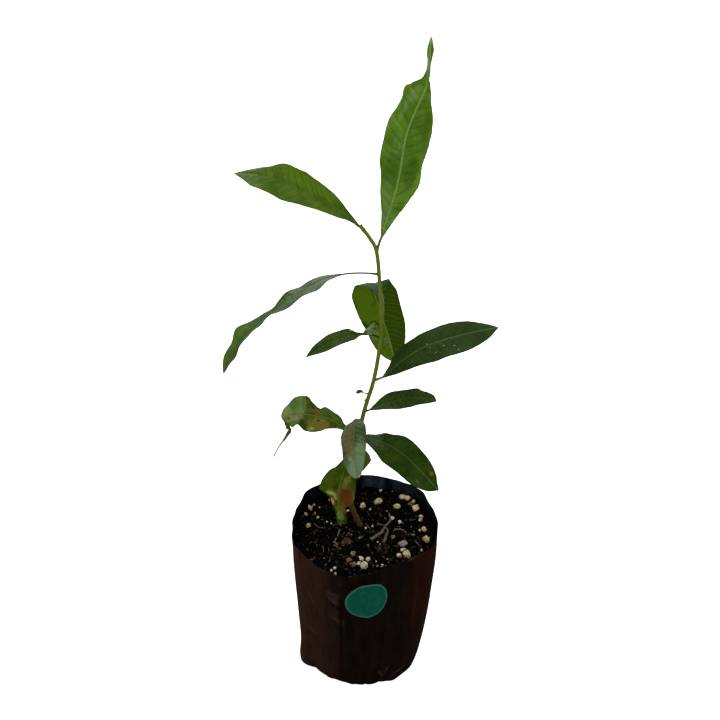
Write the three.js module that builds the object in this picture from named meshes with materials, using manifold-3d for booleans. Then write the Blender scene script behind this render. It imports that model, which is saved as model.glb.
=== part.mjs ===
// A young cashew tree in a filled nursery bag, in millimetres, with +Z up.
// The origin is the middle of the bag's flat underside, and -Y is the front.
import * as THREE from 'three';
import { mergeVertices } from 'three/addons/utils/BufferGeometryUtils.js';
import Module from 'manifold-3d';

const wasm = await Module();
wasm.setup();

// Gap between pieces that touch
const clearance = 0.3;

// Bag of plastic film, first as a turned shape
const bagHeight = 200;
const rimRadius = 75;
const footRadius = 66;
const cornerRadius = 8;
const filmThickness = 1.2;
const bagSides = 44;
const cornerSteps = 3;
const wallHeights = [14, 22, 32, 46, 70, 96, 120, 142, 160, 176, 188, bagHeight];

// How the filled bag stands out of round: bearing in degrees and reach from the middle, at foot and rim
const footShift = -1;
const rimShift = 5;
const footReach = [
  [-165, 62], [-140, 42], [-106, 24], [-74, 34], [-47, 50], [-22, 56], [0, 60], [40, 54], [85, 38], [135, 54],
];
const rimReach = [
  [-170, 75], [-138, 73], [-108, 73], [-90, 68], [-68, 62], [-48, 64], [-26, 73], [0, 75],
  [18, 74], [42, 79], [70, 76], [100, 77], [138, 80], [160, 76],
];
const footRise = 42;
const footPower = 2.2;
const leanFoot = 95;
const rimLift = 2;
const rimLiftBearing = -68;

// Potting soil, which stands a little clear of the film
const soilGap = 0.8;
const soilLevel = 182;
const soilTopRadius = 65;
const soilTopRings = 13;
const hummock = 1.1;
const moundHeight = 1.6;
const moundRadius = 14;
const seatRadius = 4.4;

// Lumps of bark and peat that stand out of the soil: X, Y and width of each
const lumps = [
  [-13, -9, 13], [23, -20, 15], [12, 4, 8], [46, 1, 8], [53, -11, 10], [34, 30, 10], [-36, -12, 12],
  [-31, 4, 11], [-36, 34, 12], [-14, 40, 10], [-6, 60, 12], [34, 64, 8], [4, -16, 10], [-14, -46, 10],
  [33, -44, 9], [-52, -4, 11], [-48, 20, 10],
];
const lumpHeightShare = 0.3;
const lumpSpread = 0.4;

// Round blank sticker on the front
const stickerRadius = 22.5;
const stickerThickness = 0.5;
const stickerGap = 0.7;
const stickerHeight = 166;
const stickerAngle = -88;
const stickerSides = 30;

// Stem, from the flat cut at soil level to its tip
const stemFootX = 0;
const stemFootY = 15;
const stemRoute = [
  [stemFootX, stemFootY, soilLevel],
  [-9, 16, 212],
  [-10, 16, 246],
  [-5, 15, 282],
  [4, 14, 332],
  [13, 13, 370],
  [18, 12, 415],
  [16.5, 12, 462],
  [13.5, 11.5, 493],
  [8, 11, 505],
  [2.5, 10.5, 513],
];
const stemTipRadius = 1.35;
const stemTaper = 1.35;
const taperPower = 1.6;
const flareRadius = 0.9;
const flareHeight = 6;
const stemSides = 10;
const stemSteps = 44;

// Each leaf has a stalk, a blade and, on some, a thin drip tip. Its bends are rows of
// distance along the leaf, bearing (0 is +X, 90 is away), slope above level, and turn about its rib.
const leafSides = 10;
const leafStep = 5.5;
const leafThicknessShare = 0.0105;
const leafThicknessLeast = 1.2;
const dripTipWidth = 3;
const leaves = {
  leaf_top: {
    height: 494, stalk: 11, blade: 126, dripTip: 25,
    width: 37, widest: 0.58, fullness: 0.95, fold: 10, wave: [1.0, 4],
    bends: [
      [0, 8, 73, 15], [40, 21, 72, 34], [80, 42, 82, 36], [105, 14, 67, 31], [125, 12, 64, 28],
      [138, 55, 86, 20], [162, 53, 87, 15],
    ],
  },
  leaf_upper_left: {
    height: 514, stalk: 8, blade: 109, dripTip: 0,
    width: 36, widest: 0.56, fullness: 0.82, fold: 5, wave: [0.8, 3],
    bends: [[0, 218, 50, -22], [39, 199, 31, -22], [78, 175, 22, -26], [100, 163, 0, -17], [117, 157, -15, -8]],
  },
  leaf_left_drooping: {
    height: 473, stalk: 30, blade: 143, dripTip: 0,
    width: 35, widest: 0.5, fullness: 0.82, fold: 5, wave: [2.2, 4],
    bends: [[0, 178, 8, 0], [35, 182, -10, 0], [60, 187, -33, 0], [115, 187, -38, 8], [173, 205, -68, -8]],
  },
  leaf_back_folded: {
    height: 424, stalk: 24, blade: 130, dripTip: 0,
    width: 46, widest: 0.5, fullness: 0.82, fold: 5, wave: [0.8, 3],
    bends: [
      [0, 60, 15, 0], [6, 70, 78, 0], [24, 105, 62, 0], [34, 113, 20, 0], [48, 105, -25, 0],
      [60, 85, -60, -10], [80, 50, -68, -40], [105, 30, -72, -60], [130, 5, -75, -80], [154, -20, -76, -100],
    ],
  },
  leaf_crumpled: {
    height: 420, stalk: 4, blade: 16, dripTip: 0,
    width: 13, widest: 0.5, fullness: 0.6, fold: 20, wave: [1.0, 2],
    bends: [[0, 215, 45, -20], [10, 200, 25, -30], [20, 190, -60, -30]],
  },
  leaf_small_left: {
    height: 412, stalk: 13, blade: 61, dripTip: 0,
    width: 19, widest: 0.5, fullness: 0.82, fold: 5, wave: [0.8, 3],
    bends: [[0, 200, 38, 8], [25, 203, 6, 4], [49, 200, -17, -5], [74, 195, -40, -8]],
  },
  leaf_right_large: {
    height: 367, stalk: 9, blade: 118, dripTip: 0,
    width: 35, widest: 0.55, fullness: 0.82, fold: 5, wave: [0.8, 3],
    bends: [[0, -20, 46, 34], [42, -18, 45, 28], [85, -12, 25, 26], [127, 8, 6, 24]],
  },
  dried_stalk: {
    height: 353, stalk: 9, blade: 5, dripTip: 0,
    width: 4, widest: 0.5, fullness: 0.5, fold: 0, wave: [0, 1],
    bends: [[0, 205, 5, 0], [9, 190, 30, 0], [14, 190, -10, 0]],
  },
  leaf_right_small: {
    height: 331, stalk: 6, blade: 67, dripTip: 0,
    width: 22, widest: 0.54, fullness: 0.82, fold: 5, wave: [0.6, 3],
    bends: [[0, -14, 37, 16], [24, -10, 29, 20], [49, -10, 14, 18], [73, -15, -13, 15]],
  },
  leaf_front: {
    height: 318, stalk: 4, blade: 72, dripTip: 0,
    width: 25, widest: 0.5, fullness: 0.72, fold: 12, wave: [0.7, 3],
    bends: [[0, 236, 58, 0], [25, 264, -21, 14], [51, 274, -19, 24], [76, 295, -34, 30]],
  },
  leaf_lower_left: {
    height: 308, stalk: 8, blade: 82, dripTip: 32,
    width: 35, widest: 0.55, fullness: 0.8, fold: 5, wave: [2.0, 3],
    bends: [
      [0, 203, 10, 0], [13, 190, 32, -2], [26, 173, 40, -4], [39, 184, 15, -10], [54, 184, 15, -18],
      [65, 187, 7, -20], [72, 200, -18, -15], [78, 198, -80, -8], [84, 175, -135, 0], [90, 220, -50, 0],
      [122, 222, -45, 0],
    ],
  },
  leaf_lower_right: {
    height: 301, stalk: 5, blade: 93, dripTip: 0,
    width: 33, widest: 0.53, fullness: 0.79, fold: 7, wave: [0.8, 3],
    bends: [[0, -25, 15, 4], [33, -38, -2, 19], [65, -47, -18, 28], [98, -44, -27, 33]],
  },
  leaf_lowest: {
    height: 296, stalk: 4, blade: 103, dripTip: 0,
    width: 42, widest: 0.38, fullness: 0.62, fold: 4, wave: [1.2, 3],
    bends: [[0, 260, 4, 25], [36, 239, -34, 28], [60, 248, -79, 0], [71, 232, -97, 0], [107, 262, -107, -8]],
  },
};

// Pale pumice stones in the soil: X, Y and mean width of each
const pumice = [
  [47, 57, 7], [61, 41, 8], [40, 42, 7], [20, 50, 8], [3, 43, 7],
  [67, 9, 6], [47, -26, 9], [68, -6, 8], [4, -41, 9], [-54, 40, 6],
];
const pumiceSunk = 0.12;

const degrees = Math.PI / 180;

function colour(hex, roughness) {
  return new THREE.MeshStandardMaterial({ color: hex, roughness, metalness: 0 });
}

const filmBlack = colour(0x1c1513, 0.35);
const soilBlack = colour(0x1b1613, 1);
const stemGreen = colour(0x6a7434, 0.65);
const leafGreen = colour(0x3a6128, 0.5);
const driedBrown = colour(0x5a5238, 0.9);
const stickerGreen = colour(0x00674d, 0.4);
const pumiceCream = colour(0xd5c39a, 0.95);

const tree = new THREE.Group();

function add(name, geometry, material) {
  const mesh = new THREE.Mesh(geometry, material);
  mesh.name = name;
  tree.add(mesh);
}

// Vertices that share a place become one, so that the surface is closed
function closed(geometry) {
  geometry.deleteAttribute('normal');
  geometry.deleteAttribute('uv');
  return mergeVertices(geometry, 1e-4);
}

// Moves every vertex of a geometry to the place that the rule gives for it
function reshape(geometry, rule) {
  const place = geometry.attributes.position;
  const from = new THREE.Vector3();
  for (let i = 0; i < place.count; i += 1) {
    from.fromBufferAttribute(place, i);
    const to = rule(from);
    place.setXYZ(i, to.x, to.y, to.z);
  }
  return closed(geometry);
}

function solid(geometry) {
  const vertProperties = new Float32Array(geometry.attributes.position.array);
  const triVerts = new Uint32Array(geometry.index.array);
  return new wasm.Manifold(new wasm.Mesh({ numProp: 3, vertProperties, triVerts }));
}

function geometryOf(manifold) {
  const mesh = manifold.getMesh();
  const geometry = new THREE.BufferGeometry();
  geometry.setAttribute('position', new THREE.BufferAttribute(new Float32Array(mesh.vertProperties), 3));
  geometry.setIndex(new THREE.BufferAttribute(new Uint32Array(mesh.triVerts), 1));
  return geometry;
}

// Radius of the bag's outside at a height, before it slumps
function wallRadius(z) {
  const rise = THREE.MathUtils.clamp(z / bagHeight, 0, 1);
  return rimRadius - (rimRadius - footRadius) * (1 - rise) ** 2;
}

// Reach at a bearing, eased between the rows of an outline that closes on itself
function reachAt(outline, bearing) {
  const first = outline[0];
  const rows = [...outline, [first[0] + 360, first[1]]];
  const from = bearing < first[0] ? bearing + 360 : bearing;
  let row = 1;
  while (from > rows[row][0]) {
    row += 1;
  }
  const share = THREE.MathUtils.smoothstep(from, rows[row - 1][0], rows[row][0]);
  return THREE.MathUtils.lerp(rows[row - 1][1], rows[row][1], share);
}

// The filled bag's out-of-round shape: its foot is pillowed, and its rim follows the outline above
function slumped(point) {
  const rise = THREE.MathUtils.clamp(point.z / bagHeight, 0, 1);
  const bearing = Math.atan2(point.y, point.x) / degrees;
  const flat = 1 - Math.max(0, 1 - point.z / footRise) ** footPower;
  const foot = THREE.MathUtils.lerp(reachAt(footReach, bearing) / (footRadius - cornerRadius), 1, flat);
  const lean = THREE.MathUtils.smoothstep(point.z, leanFoot, bagHeight);
  const rim = THREE.MathUtils.lerp(1, reachAt(rimReach, bearing) / rimRadius, lean);
  const shift = THREE.MathUtils.lerp(rimShift, footShift, (1 - rise) ** 2);
  return new THREE.Vector3(shift + point.x * foot * rim, point.y * foot * rim, point.z);
}

// The rounded corner and the wall of the turned bag, from the foot up, set in by some distance
function wallProfile(setIn, top) {
  const profile = [];
  const inner = cornerRadius - setIn;
  const middle = wallRadius(cornerRadius) - cornerRadius;
  for (let step = 0; step <= cornerSteps; step += 1) {
    const turn = (step / cornerSteps) * 90 * degrees;
    profile.push(new THREE.Vector2(middle + inner * Math.sin(turn), cornerRadius - inner * Math.cos(turn)));
  }
  for (const z of [...wallHeights.filter((height) => height < top), top]) {
    profile.push(new THREE.Vector2(wallRadius(z) - setIn, z));
  }
  return profile;
}

function turned(profile) {
  return new THREE.LatheGeometry(profile, bagSides).rotateX(90 * degrees);
}

// The whole bag as one solid, set in by some distance and as high as asked, with its rim's slight lift
function bagBody(setIn, top) {
  const profile = [new THREE.Vector2(0, setIn), ...wallProfile(setIn, top), new THREE.Vector2(0, top)];
  return solid(reshape(turned(profile), (point) => {
    const lift = THREE.MathUtils.smoothstep(point.z, bagHeight * 0.7, bagHeight);
    const bearing = Math.atan2(point.y, point.x);
    const place = slumped(point);
    place.z += rimLift * lift * Math.cos(bearing - rimLiftBearing * degrees);
    return place;
  }));
}

// Open bag of one even film
function bagGeometry() {
  const body = bagBody(0, bagHeight);
  const inside = bagBody(filmThickness, bagHeight + 10);
  return geometryOf(body.subtract(inside));
}

// Height of the lumps at a place
function lumpTop(x, y) {
  let height = 0;
  for (const [lumpX, lumpY, width] of lumps) {
    const away = Math.hypot(x - lumpX, y - lumpY) / (width * lumpSpread);
    height += width * lumpHeightShare * Math.exp(-away * away);
  }
  return height;
}

// Height of the soil's uneven top at a place
function soilTop(x, y) {
  const away = Math.hypot(x - stemFootX, y - stemFootY) / moundRadius;
  const mound = moundHeight * Math.exp(-away * away);
  const rough = hummock * (Math.sin(x / 8 + 1) * Math.cos(y / 9) + 0.6 * Math.sin(x / 5 - y / 6));
  return soilLevel + mound + rough * (1 - Math.exp(-away * away)) + lumpTop(x, y);
}

function stoneGeometry(size, number, gap) {
  const shape = new THREE.IcosahedronGeometry(1, 1);
  const half = new THREE.Vector3(size * 0.58, size * 0.46, size * 0.4).addScalar(gap);
  const turn = new THREE.Euler(0.3 * number, 0.2 * number, 1.1 * number);
  return reshape(shape, (point) => {
    const knob = 1 + 0.08 * Math.sin(4 * point.x + number) + 0.06 * Math.cos(5 * point.y - number);
    return point.clone().multiplyScalar(knob).multiply(half).applyEuler(turn);
  });
}

function stonePlaced(number, gap) {
  const [x, y, size] = pumice[number];
  return stoneGeometry(size, number, gap).translate(x, y, soilTop(x, y) + size * pumiceSunk);
}

// Soil to just inside the film, with a seat for the stem's flat foot and a pocket for each stone
function soilGeometry() {
  const side = wallProfile(filmThickness + soilGap, soilLevel);
  const top = [];
  for (let ring = soilTopRings; ring >= 0; ring -= 1) {
    top.push(new THREE.Vector2((soilTopRadius * ring) / soilTopRings, soilLevel));
  }
  const profile = [new THREE.Vector2(0, filmThickness + soilGap), ...side, ...top];
  const body = reshape(turned(profile), (point) => {
    const place = slumped(point);
    if (point.z > soilLevel - 1) {
      place.z = soilTop(place.x, place.y);
    }
    return place;
  });
  let soil = solid(body);
  const seat = new THREE.CylinderGeometry(seatRadius, seatRadius, 10, 24).rotateX(90 * degrees);
  seat.translate(stemFootX, stemFootY, soilLevel - clearance + 5);
  soil = soil.subtract(solid(closed(seat)));
  for (let number = 0; number < pumice.length; number += 1) {
    soil = soil.subtract(solid(stonePlaced(number, clearance)));
  }
  return geometryOf(soil);
}

// Thin round disc that lies on the bag's front wall
function stickerGeometry() {
  const rings = [0, 0.34, 0.67, 1];
  const back = rings.map((share) => new THREE.Vector2(share * stickerRadius, 0));
  const face = rings.map((share) => new THREE.Vector2(share * stickerRadius, stickerThickness)).reverse();
  const disc = new THREE.LatheGeometry([...back, ...face], stickerSides);
  return reshape(disc, (point) => {
    const height = stickerHeight + point.z;
    const radius = wallRadius(height) + stickerGap + point.y;
    const angle = stickerAngle * degrees - point.x / radius;
    return slumped(new THREE.Vector3(radius * Math.cos(angle), radius * Math.sin(angle), height));
  });
}

const stemCurve = new THREE.CatmullRomCurve3(stemRoute.map((point) => new THREE.Vector3(...point)));

// Half width of the stem at a place along it, with its true taper and the flare at its foot
function stemRadius(along) {
  const above = stemCurve.getPointAt(along).z - soilLevel;
  return stemTipRadius + stemTaper * (1 - along) ** taperPower + flareRadius * Math.exp(-above / flareHeight);
}

// One tapering limb on the stem's route, with level cuts at its foot and across its tip
function stemGeometry() {
  const limb = new THREE.CylinderGeometry(1, 1, 1, stemSides, stemSteps);
  return reshape(limb, (point) => {
    const along = THREE.MathUtils.clamp(point.y + 0.5, 0, 1);
    const middle = stemCurve.getPointAt(along);
    const radius = stemRadius(along);
    const run = stemCurve.getTangentAt(along);
    const dip = Math.min(1, along * 12);
    const x = point.x * radius;
    const y = -point.z * radius;
    const level = -dip * (run.x * x + run.y * y) / Math.max(run.z, 0.5);
    return new THREE.Vector3(middle.x + x, middle.y + y, middle.z + level);
  });
}

// The stem as spheres along it, to measure how far a leaf's foot stands from its bark
const stemProbe = [];
const probeCount = 400;
const probeEnd = 1 - stemTipRadius / stemCurve.getLength();
for (let step = 0; step <= probeCount; step += 1) {
  const along = (step / probeCount) * probeEnd;
  stemProbe.push({ middle: stemCurve.getPointAt(along), radius: stemRadius(along) });
}

function gapToStem(point) {
  return Math.min(...stemProbe.map((probe) => probe.middle.distanceTo(point) - probe.radius));
}

function stemAtHeight(height) {
  let nearest = stemProbe[0].middle;
  for (const probe of stemProbe) {
    if (Math.abs(probe.middle.z - height) < Math.abs(nearest.z - height)) {
      nearest = probe.middle;
    }
  }
  return nearest;
}

// Bearing, slope and turn at a distance along a leaf, read between the rows of its bends
function bendAt(bends, distance) {
  let row = 1;
  while (row < bends.length - 1 && distance > bends[row][0]) {
    row += 1;
  }
  const [before, after] = [bends[row - 1], bends[row]];
  const share = THREE.MathUtils.clamp((distance - before[0]) / (after[0] - before[0]), 0, 1);
  return [1, 2, 3].map((item) => THREE.MathUtils.lerp(before[item], after[item], share) * degrees);
}

// Directions at a distance along a leaf: its run, its right side and its upper face
function leafFrame(leaf, distance) {
  const [bearing, slope, turn] = bendAt(leaf.bends, distance);
  const ahead = new THREE.Vector3(Math.cos(bearing), Math.sin(bearing), 0);
  const level = new THREE.Vector3(Math.sin(bearing), -Math.cos(bearing), 0);
  const run = ahead.multiplyScalar(Math.cos(slope));
  run.z = Math.sin(slope);
  const upper = new THREE.Vector3().crossVectors(level, run);
  const right = level.clone().multiplyScalar(Math.cos(turn)).addScaledVector(upper, -Math.sin(turn));
  const face = upper.multiplyScalar(Math.cos(turn)).addScaledVector(level, Math.sin(turn));
  return { run, right, face };
}

// Half width of a leaf: a thin stalk, a blade that swells and narrows, and a thin drip tip
function leafHalfWidth(leaf, distance, least) {
  const share = THREE.MathUtils.clamp((distance - leaf.stalk) / leaf.blade, 0, 1);
  const fall = (leaf.fullness * (1 - leaf.widest)) / leaf.widest;
  const swell = (share / leaf.widest) ** leaf.fullness * ((1 - share) / (1 - leaf.widest)) ** fall;
  const tip = leaf.dripTip > 0 && share > 0.5 ? dripTipWidth / 2 : 0;
  return Math.max(least, tip, (leaf.width / 2) * swell);
}

// One closed leaf: a round tube from the stem that flattens into the folded, wavy blade
function leafGeometry(leaf) {
  const length = leaf.stalk + leaf.blade + leaf.dripTip;
  const halfThickness = Math.max(leafThicknessLeast, length * leafThicknessShare) / 2;
  const walk = [stemAtHeight(leaf.height)];
  const fine = 400;
  for (let step = 1; step <= fine; step += 1) {
    const { run } = leafFrame(leaf, ((step - 0.5) / fine) * length);
    walk.push(walk[step - 1].clone().addScaledVector(run, length / fine));
  }
  const ribAt = (distance) => walk[Math.round((distance / length) * fine)];
  let foot = 0;
  while (foot < leaf.stalk) {
    const { right, face } = leafFrame(leaf, foot);
    const rib = ribAt(foot);
    const around = [right, right.clone().negate(), face, face.clone().negate()];
    const gaps = around.map((side) => gapToStem(rib.clone().addScaledVector(side, halfThickness)));
    if (Math.min(...gaps) >= clearance) {
      break;
    }
    foot += length / fine;
  }
  const steps = Math.max(6, Math.round((length - foot) / leafStep));
  const tube = new THREE.CylinderGeometry(1, 1, 1, leafSides, steps);
  const edge = Math.sin(72 * degrees);
  const [waveHeight, waveCount] = leaf.wave;
  return reshape(tube, (point) => {
    const share = THREE.MathUtils.clamp(point.y + 0.5, 0, 1);
    const distance = foot + share * (length - foot);
    const { right, face } = leafFrame(leaf, distance);
    const half = leafHalfWidth(leaf, distance, halfThickness);
    const across = (point.x / edge) * half;
    const flat = (half - halfThickness) / half;
    const fold = Math.abs(across) * Math.sin(leaf.fold * degrees) * flat;
    const phase = 2 * Math.PI * waveCount * share + (point.x > 0 ? 1.3 : 0);
    const wave = waveHeight * flat * (point.x / edge) ** 2 * Math.sin(phase);
    const place = ribAt(distance).clone();
    place.addScaledVector(right, across * Math.cos(leaf.fold * degrees * flat));
    return place.addScaledVector(face, fold + wave + point.z * halfThickness);
  });
}

add('bag', bagGeometry(), filmBlack);
add('soil', soilGeometry(), soilBlack);
add('sticker', stickerGeometry(), stickerGreen);
add('stem', stemGeometry(), stemGreen);
for (const [name, leaf] of Object.entries(leaves)) {
  add(name, leafGeometry(leaf), name === 'dried_stalk' ? driedBrown : leafGreen);
}
for (let number = 0; number < pumice.length; number += 1) {
  add(`pumice_${number + 1}`, stonePlaced(number, 0), pumiceCream);
}

export default tree;
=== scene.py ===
"""A young cashew tree in a filled nursery bag.

Sizes are in millimetres, with +Z up, -Y the front and the middle of the bag's underside at zero.
They become metres when a mesh is made.
"""

import bisect
import math
import random

import bmesh
import bpy
from mathutils import Matrix, Vector, noise


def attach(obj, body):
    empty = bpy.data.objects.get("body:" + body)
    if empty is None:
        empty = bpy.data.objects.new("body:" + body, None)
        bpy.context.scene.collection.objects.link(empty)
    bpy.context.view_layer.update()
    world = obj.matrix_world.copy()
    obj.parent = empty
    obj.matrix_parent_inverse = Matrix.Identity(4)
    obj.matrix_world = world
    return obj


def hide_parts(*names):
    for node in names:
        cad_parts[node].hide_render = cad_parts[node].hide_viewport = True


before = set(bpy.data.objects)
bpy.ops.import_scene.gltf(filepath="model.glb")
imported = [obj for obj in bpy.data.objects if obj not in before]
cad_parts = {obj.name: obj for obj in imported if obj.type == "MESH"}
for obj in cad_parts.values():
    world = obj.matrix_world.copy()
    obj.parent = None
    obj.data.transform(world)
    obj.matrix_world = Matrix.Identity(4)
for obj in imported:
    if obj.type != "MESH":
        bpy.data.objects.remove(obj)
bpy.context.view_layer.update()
millimetre = 0.001

# Camera
# The photograph is taken from the front, from a little above the top leaf, and looks down at the plant.
camera_place = Vector((0, -517, 720))
camera_dip = 32
camera_lens = 35

camera_data = bpy.data.cameras.new("camera")
camera_data.lens = camera_lens
camera = bpy.data.objects.new("camera", camera_data)
camera.location = camera_place * millimetre
camera.rotation_euler = (math.radians(90 - camera_dip), 0, 0)
bpy.context.scene.collection.objects.link(camera)
bpy.context.scene.camera = camera

# Bag
# A sleeve of thin black film, welded across its foot and filled with soil until it stands.
# It was stored flat, so it keeps two upright folds, and the soil's weight wrinkles the rest.
bag_height = 200
rim_radius = 75
foot_radius = 66
corner_radius = 8
foot_shift = -1
rim_shift = 5
foot_reach = [
    (-165, 62), (-140, 42), (-106, 24), (-74, 34), (-47, 50), (-22, 56), (0, 60), (40, 54), (85, 38),
    (135, 54),
]
rim_reach = [
    (-170, 75), (-138, 73), (-108, 73), (-90, 68), (-68, 62), (-48, 64), (-26, 73), (0, 75),
    (18, 74), (42, 79), (70, 76), (100, 77), (138, 80), (160, 76),
]
foot_rise = 42
foot_power = 2.2
lean_foot = 95
rim_lift = 2
rim_lift_bearing = -68
film_thickness = 0.35
film_sides = 300
film_ring_gap = 2.1
foot_rings = [3, 12, 22, 32, 42, 50]

# Creases that were picked out, or made up at the back where the photograph doesn't show the film.
# Each runs from one bearing and height to another, and has a width and how far the film stands out.
creases = [
    (-108.5, 66, -108.5, 192, 1.2, -1.5),
    (-106.2, 90, -106.2, 197, 1.8, 0.3),
    (-123, 170, -108, 158, 2.6, 1.3),
    (-121, 163, -109, 150, 2.4, -0.8),
    (-119, 143, -105, 133, 2.8, 1.1),
    (-116, 130, -104, 118, 3.0, -0.7),
    (-152, 188, -133, 158, 1.7, 1.3),
    (-149, 180, -131, 150, 1.6, -0.9),
    (-146, 168, -128, 136, 1.8, 0.7),
    (-150, 99, -130, 99, 1.5, 1.7),
    (-150, 89, -131, 87, 1.4, -0.9),
    (-151, 78, -138, 74, 1.5, 1.6),
    (-141, 104, -129, 99, 1.3, 1.4),
    (-150, 60, -136, 58, 1.6, -0.9),
    (-149, 40, -136, 44, 1.5, 1.5),
    (-160, 176, -157, 202, 3.2, 2.0),
    (-38, 176, -52, 92, 2.2, 0.5),
    (-33, 150, -46, 70, 1.8, -0.6),
    (-28, 128, -40, 52, 2.0, 0.45),
    (-77, 60, -72, 45, 1.5, 1.4),
    (-72, 45, -64, 68, 1.6, 1.6),
    (-69, 46, -61, 60, 1.6, -1.5),
    (-68, 38, -46, 46, 2.2, 1.5),
    (-84, 40, -70, 22, 2.4, -1.3),
    (72, 66, 72, 192, 1.2, -1.5),
    (50, 176, 66, 158, 2.6, 1.3),
    (54, 164, 68, 146, 2.4, -0.9),
    (110, 150, 128, 122, 2.6, 1.2),
    (114, 136, 130, 108, 2.4, -0.9),
    (18, 140, 36, 96, 2.0, 1.0),
    (22, 120, 40, 76, 2.0, -0.8),
    (142, 186, 158, 140, 1.8, 1.1),
    (146, 100, 166, 98, 1.6, 1.4),
    (148, 66, 164, 62, 1.6, 1.2),
    (98, 62, 112, 42, 2.2, 1.5),
    (56, 52, 70, 34, 2.2, 1.3),
]
# Painted sheens, where the film lies smooth and catches the light:
# bearing, height, half width, half height and strength
sheens = [
    (-115.5, 172, 11, 4, 0.42),
    (-113, 166, 5, 8, 0.36),
    (-113, 148, 4.5, 16, 0.26),
    (-113.5, 118, 4.5, 22, 0.2),
    (-106.8, 138, 1.6, 4, 0.35),
    (-109.5, 187, 2, 3, 0.3),
    (-120, 150, 13, 30, 0.12),
    (-69, 58, 3, 7, 0.25),
    (-46, 197.5, 7, 2, 0.8),
    (-159, 193, 2.2, 6.5, 1.35),
    (66, 160, 9, 5, 0.36),
    (68, 132, 5, 20, 0.24),
    (118, 138, 6, 16, 0.26),
    (30, 110, 5, 18, 0.22),
    (150, 150, 5, 20, 0.2),
]
wrinkle_count = 46
pleat_count = 22
film_seed = 4
crease_reach = 3
crease_start = 0.12
crease_end = 0.88

# Unevenness of the film: how far it goes, and its size round the bag and up it
film_unevenness = [(0.9, 30, 60), (0.16, 8, 30)]
rim_ripple_depth = 1.1
rim_ripple_size = 13
rim_ripple_reach = 34
lip_ripple_depth = 0.8
lip_ripple_reach = 20
lip_ripple_turns = 4.1

# The round sticker holds the film flat under it
sticker_radius = 22.5
sticker_height = 166
sticker_bearing = -88


def lerp(first, second, share):
    return first + (second - first) * share


def clamped(value, low=0.0, high=1.0):
    return min(high, max(low, value))


def smoothstep(value, low, high):
    share = clamped((value - low) / (high - low))
    return share * share * (3 - 2 * share)


def direction(bearing):
    angle = math.radians(bearing)
    return Vector((math.cos(angle), math.sin(angle), 0))


def reach_at(outline, bearing):
    """Reach at a bearing, eased between the rows of an outline that closes on itself"""
    first = outline[0]
    rows = outline + [(first[0] + 360, first[1])]
    turned = bearing + 360 if bearing < first[0] else bearing
    row = 1
    while turned > rows[row][0]:
        row += 1
    share = smoothstep(turned, rows[row - 1][0], rows[row][0])
    return lerp(rows[row - 1][1], rows[row][1], share)


def wall_radius(height):
    """Radius of the bag's outside at a height, before it slumps"""
    rise = clamped(height / bag_height)
    return rim_radius - (rim_radius - foot_radius) * (1 - rise) ** 2


def slumped(point):
    """The filled bag's out-of-round shape: a pillowed foot, and a rim that follows its own outline"""
    rise = clamped(point.z / bag_height)
    bearing = math.degrees(math.atan2(point.y, point.x))
    flat = 1 - max(0, 1 - point.z / foot_rise) ** foot_power
    foot = lerp(reach_at(foot_reach, bearing) / (foot_radius - corner_radius), 1, flat)
    rim = lerp(1, reach_at(rim_reach, bearing) / rim_radius, smoothstep(point.z, lean_foot, bag_height))
    shift = lerp(rim_shift, foot_shift, (1 - rise) ** 2)
    lift = rim_lift * smoothstep(point.z, bag_height * 0.7, bag_height)
    lift *= math.cos(math.radians(bearing - rim_lift_bearing))
    return Vector((shift + point.x * foot * rim, point.y * foot * rim, point.z + lift))


def seeded_creases():
    """Small upright wrinkles all round, and the pleats where the film turns under at the foot"""
    dice = random.Random(film_seed)
    rows = []
    for _ in range(wrinkle_count):
        bearing = dice.uniform(-180, 180)
        height = dice.uniform(30, 180)
        length = dice.uniform(10, 40)
        lean = dice.uniform(-12, 12)
        width = dice.uniform(1.0, 2.4)
        stands_out = dice.uniform(-0.25, 0.25)
        rows.append((bearing, height, bearing + lean, height + length, width, stands_out))
    for _ in range(pleat_count):
        bearing = dice.uniform(-180, 180)
        lean = dice.uniform(-8, 8)
        top = dice.uniform(24, 60)
        width = dice.uniform(1.6, 3.4)
        stands_out = dice.uniform(-1.6, 0.9)
        rows.append((bearing, 4, bearing + lean, top, width, stands_out))
    return rows


all_creases = creases + seeded_creases()

# One degree of bearing, in millimetres round the rim
degree_round = math.radians(1) * rim_radius


def degrees_past(bearing, other):
    """How far a bearing lies past another one, from -180 to 180"""
    return (bearing - other + 180) % 360 - 180


def near_crease(crease, bearing, height):
    """The nearest place on a crease, as a share of its length, and how many crease widths away it is"""
    from_bearing, from_height, to_bearing, to_height, width, _ = crease
    around = degrees_past(bearing, from_bearing) * degree_round
    above = height - from_height
    run = (to_bearing - from_bearing) * degree_round
    rise = to_height - from_height
    share = clamped((around * run + above * rise) / (run * run + rise * rise))
    return share, math.hypot(around - share * run, above - share * rise) / width


def film_relief(bearing, height):
    """How far the creased film stands out from the smooth bag"""
    relief = 0
    for crease in all_creases:
        share, away = near_crease(crease, bearing, height)
        if away < crease_reach:
            swell = math.sin(math.pi * lerp(crease_start, crease_end, share))
            relief += crease[-1] * math.exp(-away * away) * swell
    round_the_bag = direction(bearing) * rim_radius
    for depth, around_size, upright_size in film_unevenness:
        place = Vector((round_the_bag.x / around_size, round_the_bag.y / around_size, height / upright_size))
        relief += depth * noise.noise(place)
    near_rim = smoothstep(height, bag_height - rim_ripple_reach, bag_height)
    place = Vector((round_the_bag.x / rim_ripple_size, round_the_bag.y / rim_ripple_size, 9))
    relief += rim_ripple_depth * near_rim * noise.noise(place)
    around = degrees_past(bearing, sticker_bearing) * degree_round
    off_sticker = math.hypot(around, height - sticker_height) / sticker_radius
    return relief * smoothstep(height, 2, 16) * smoothstep(off_sticker, 0.95, 1.45)


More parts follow.
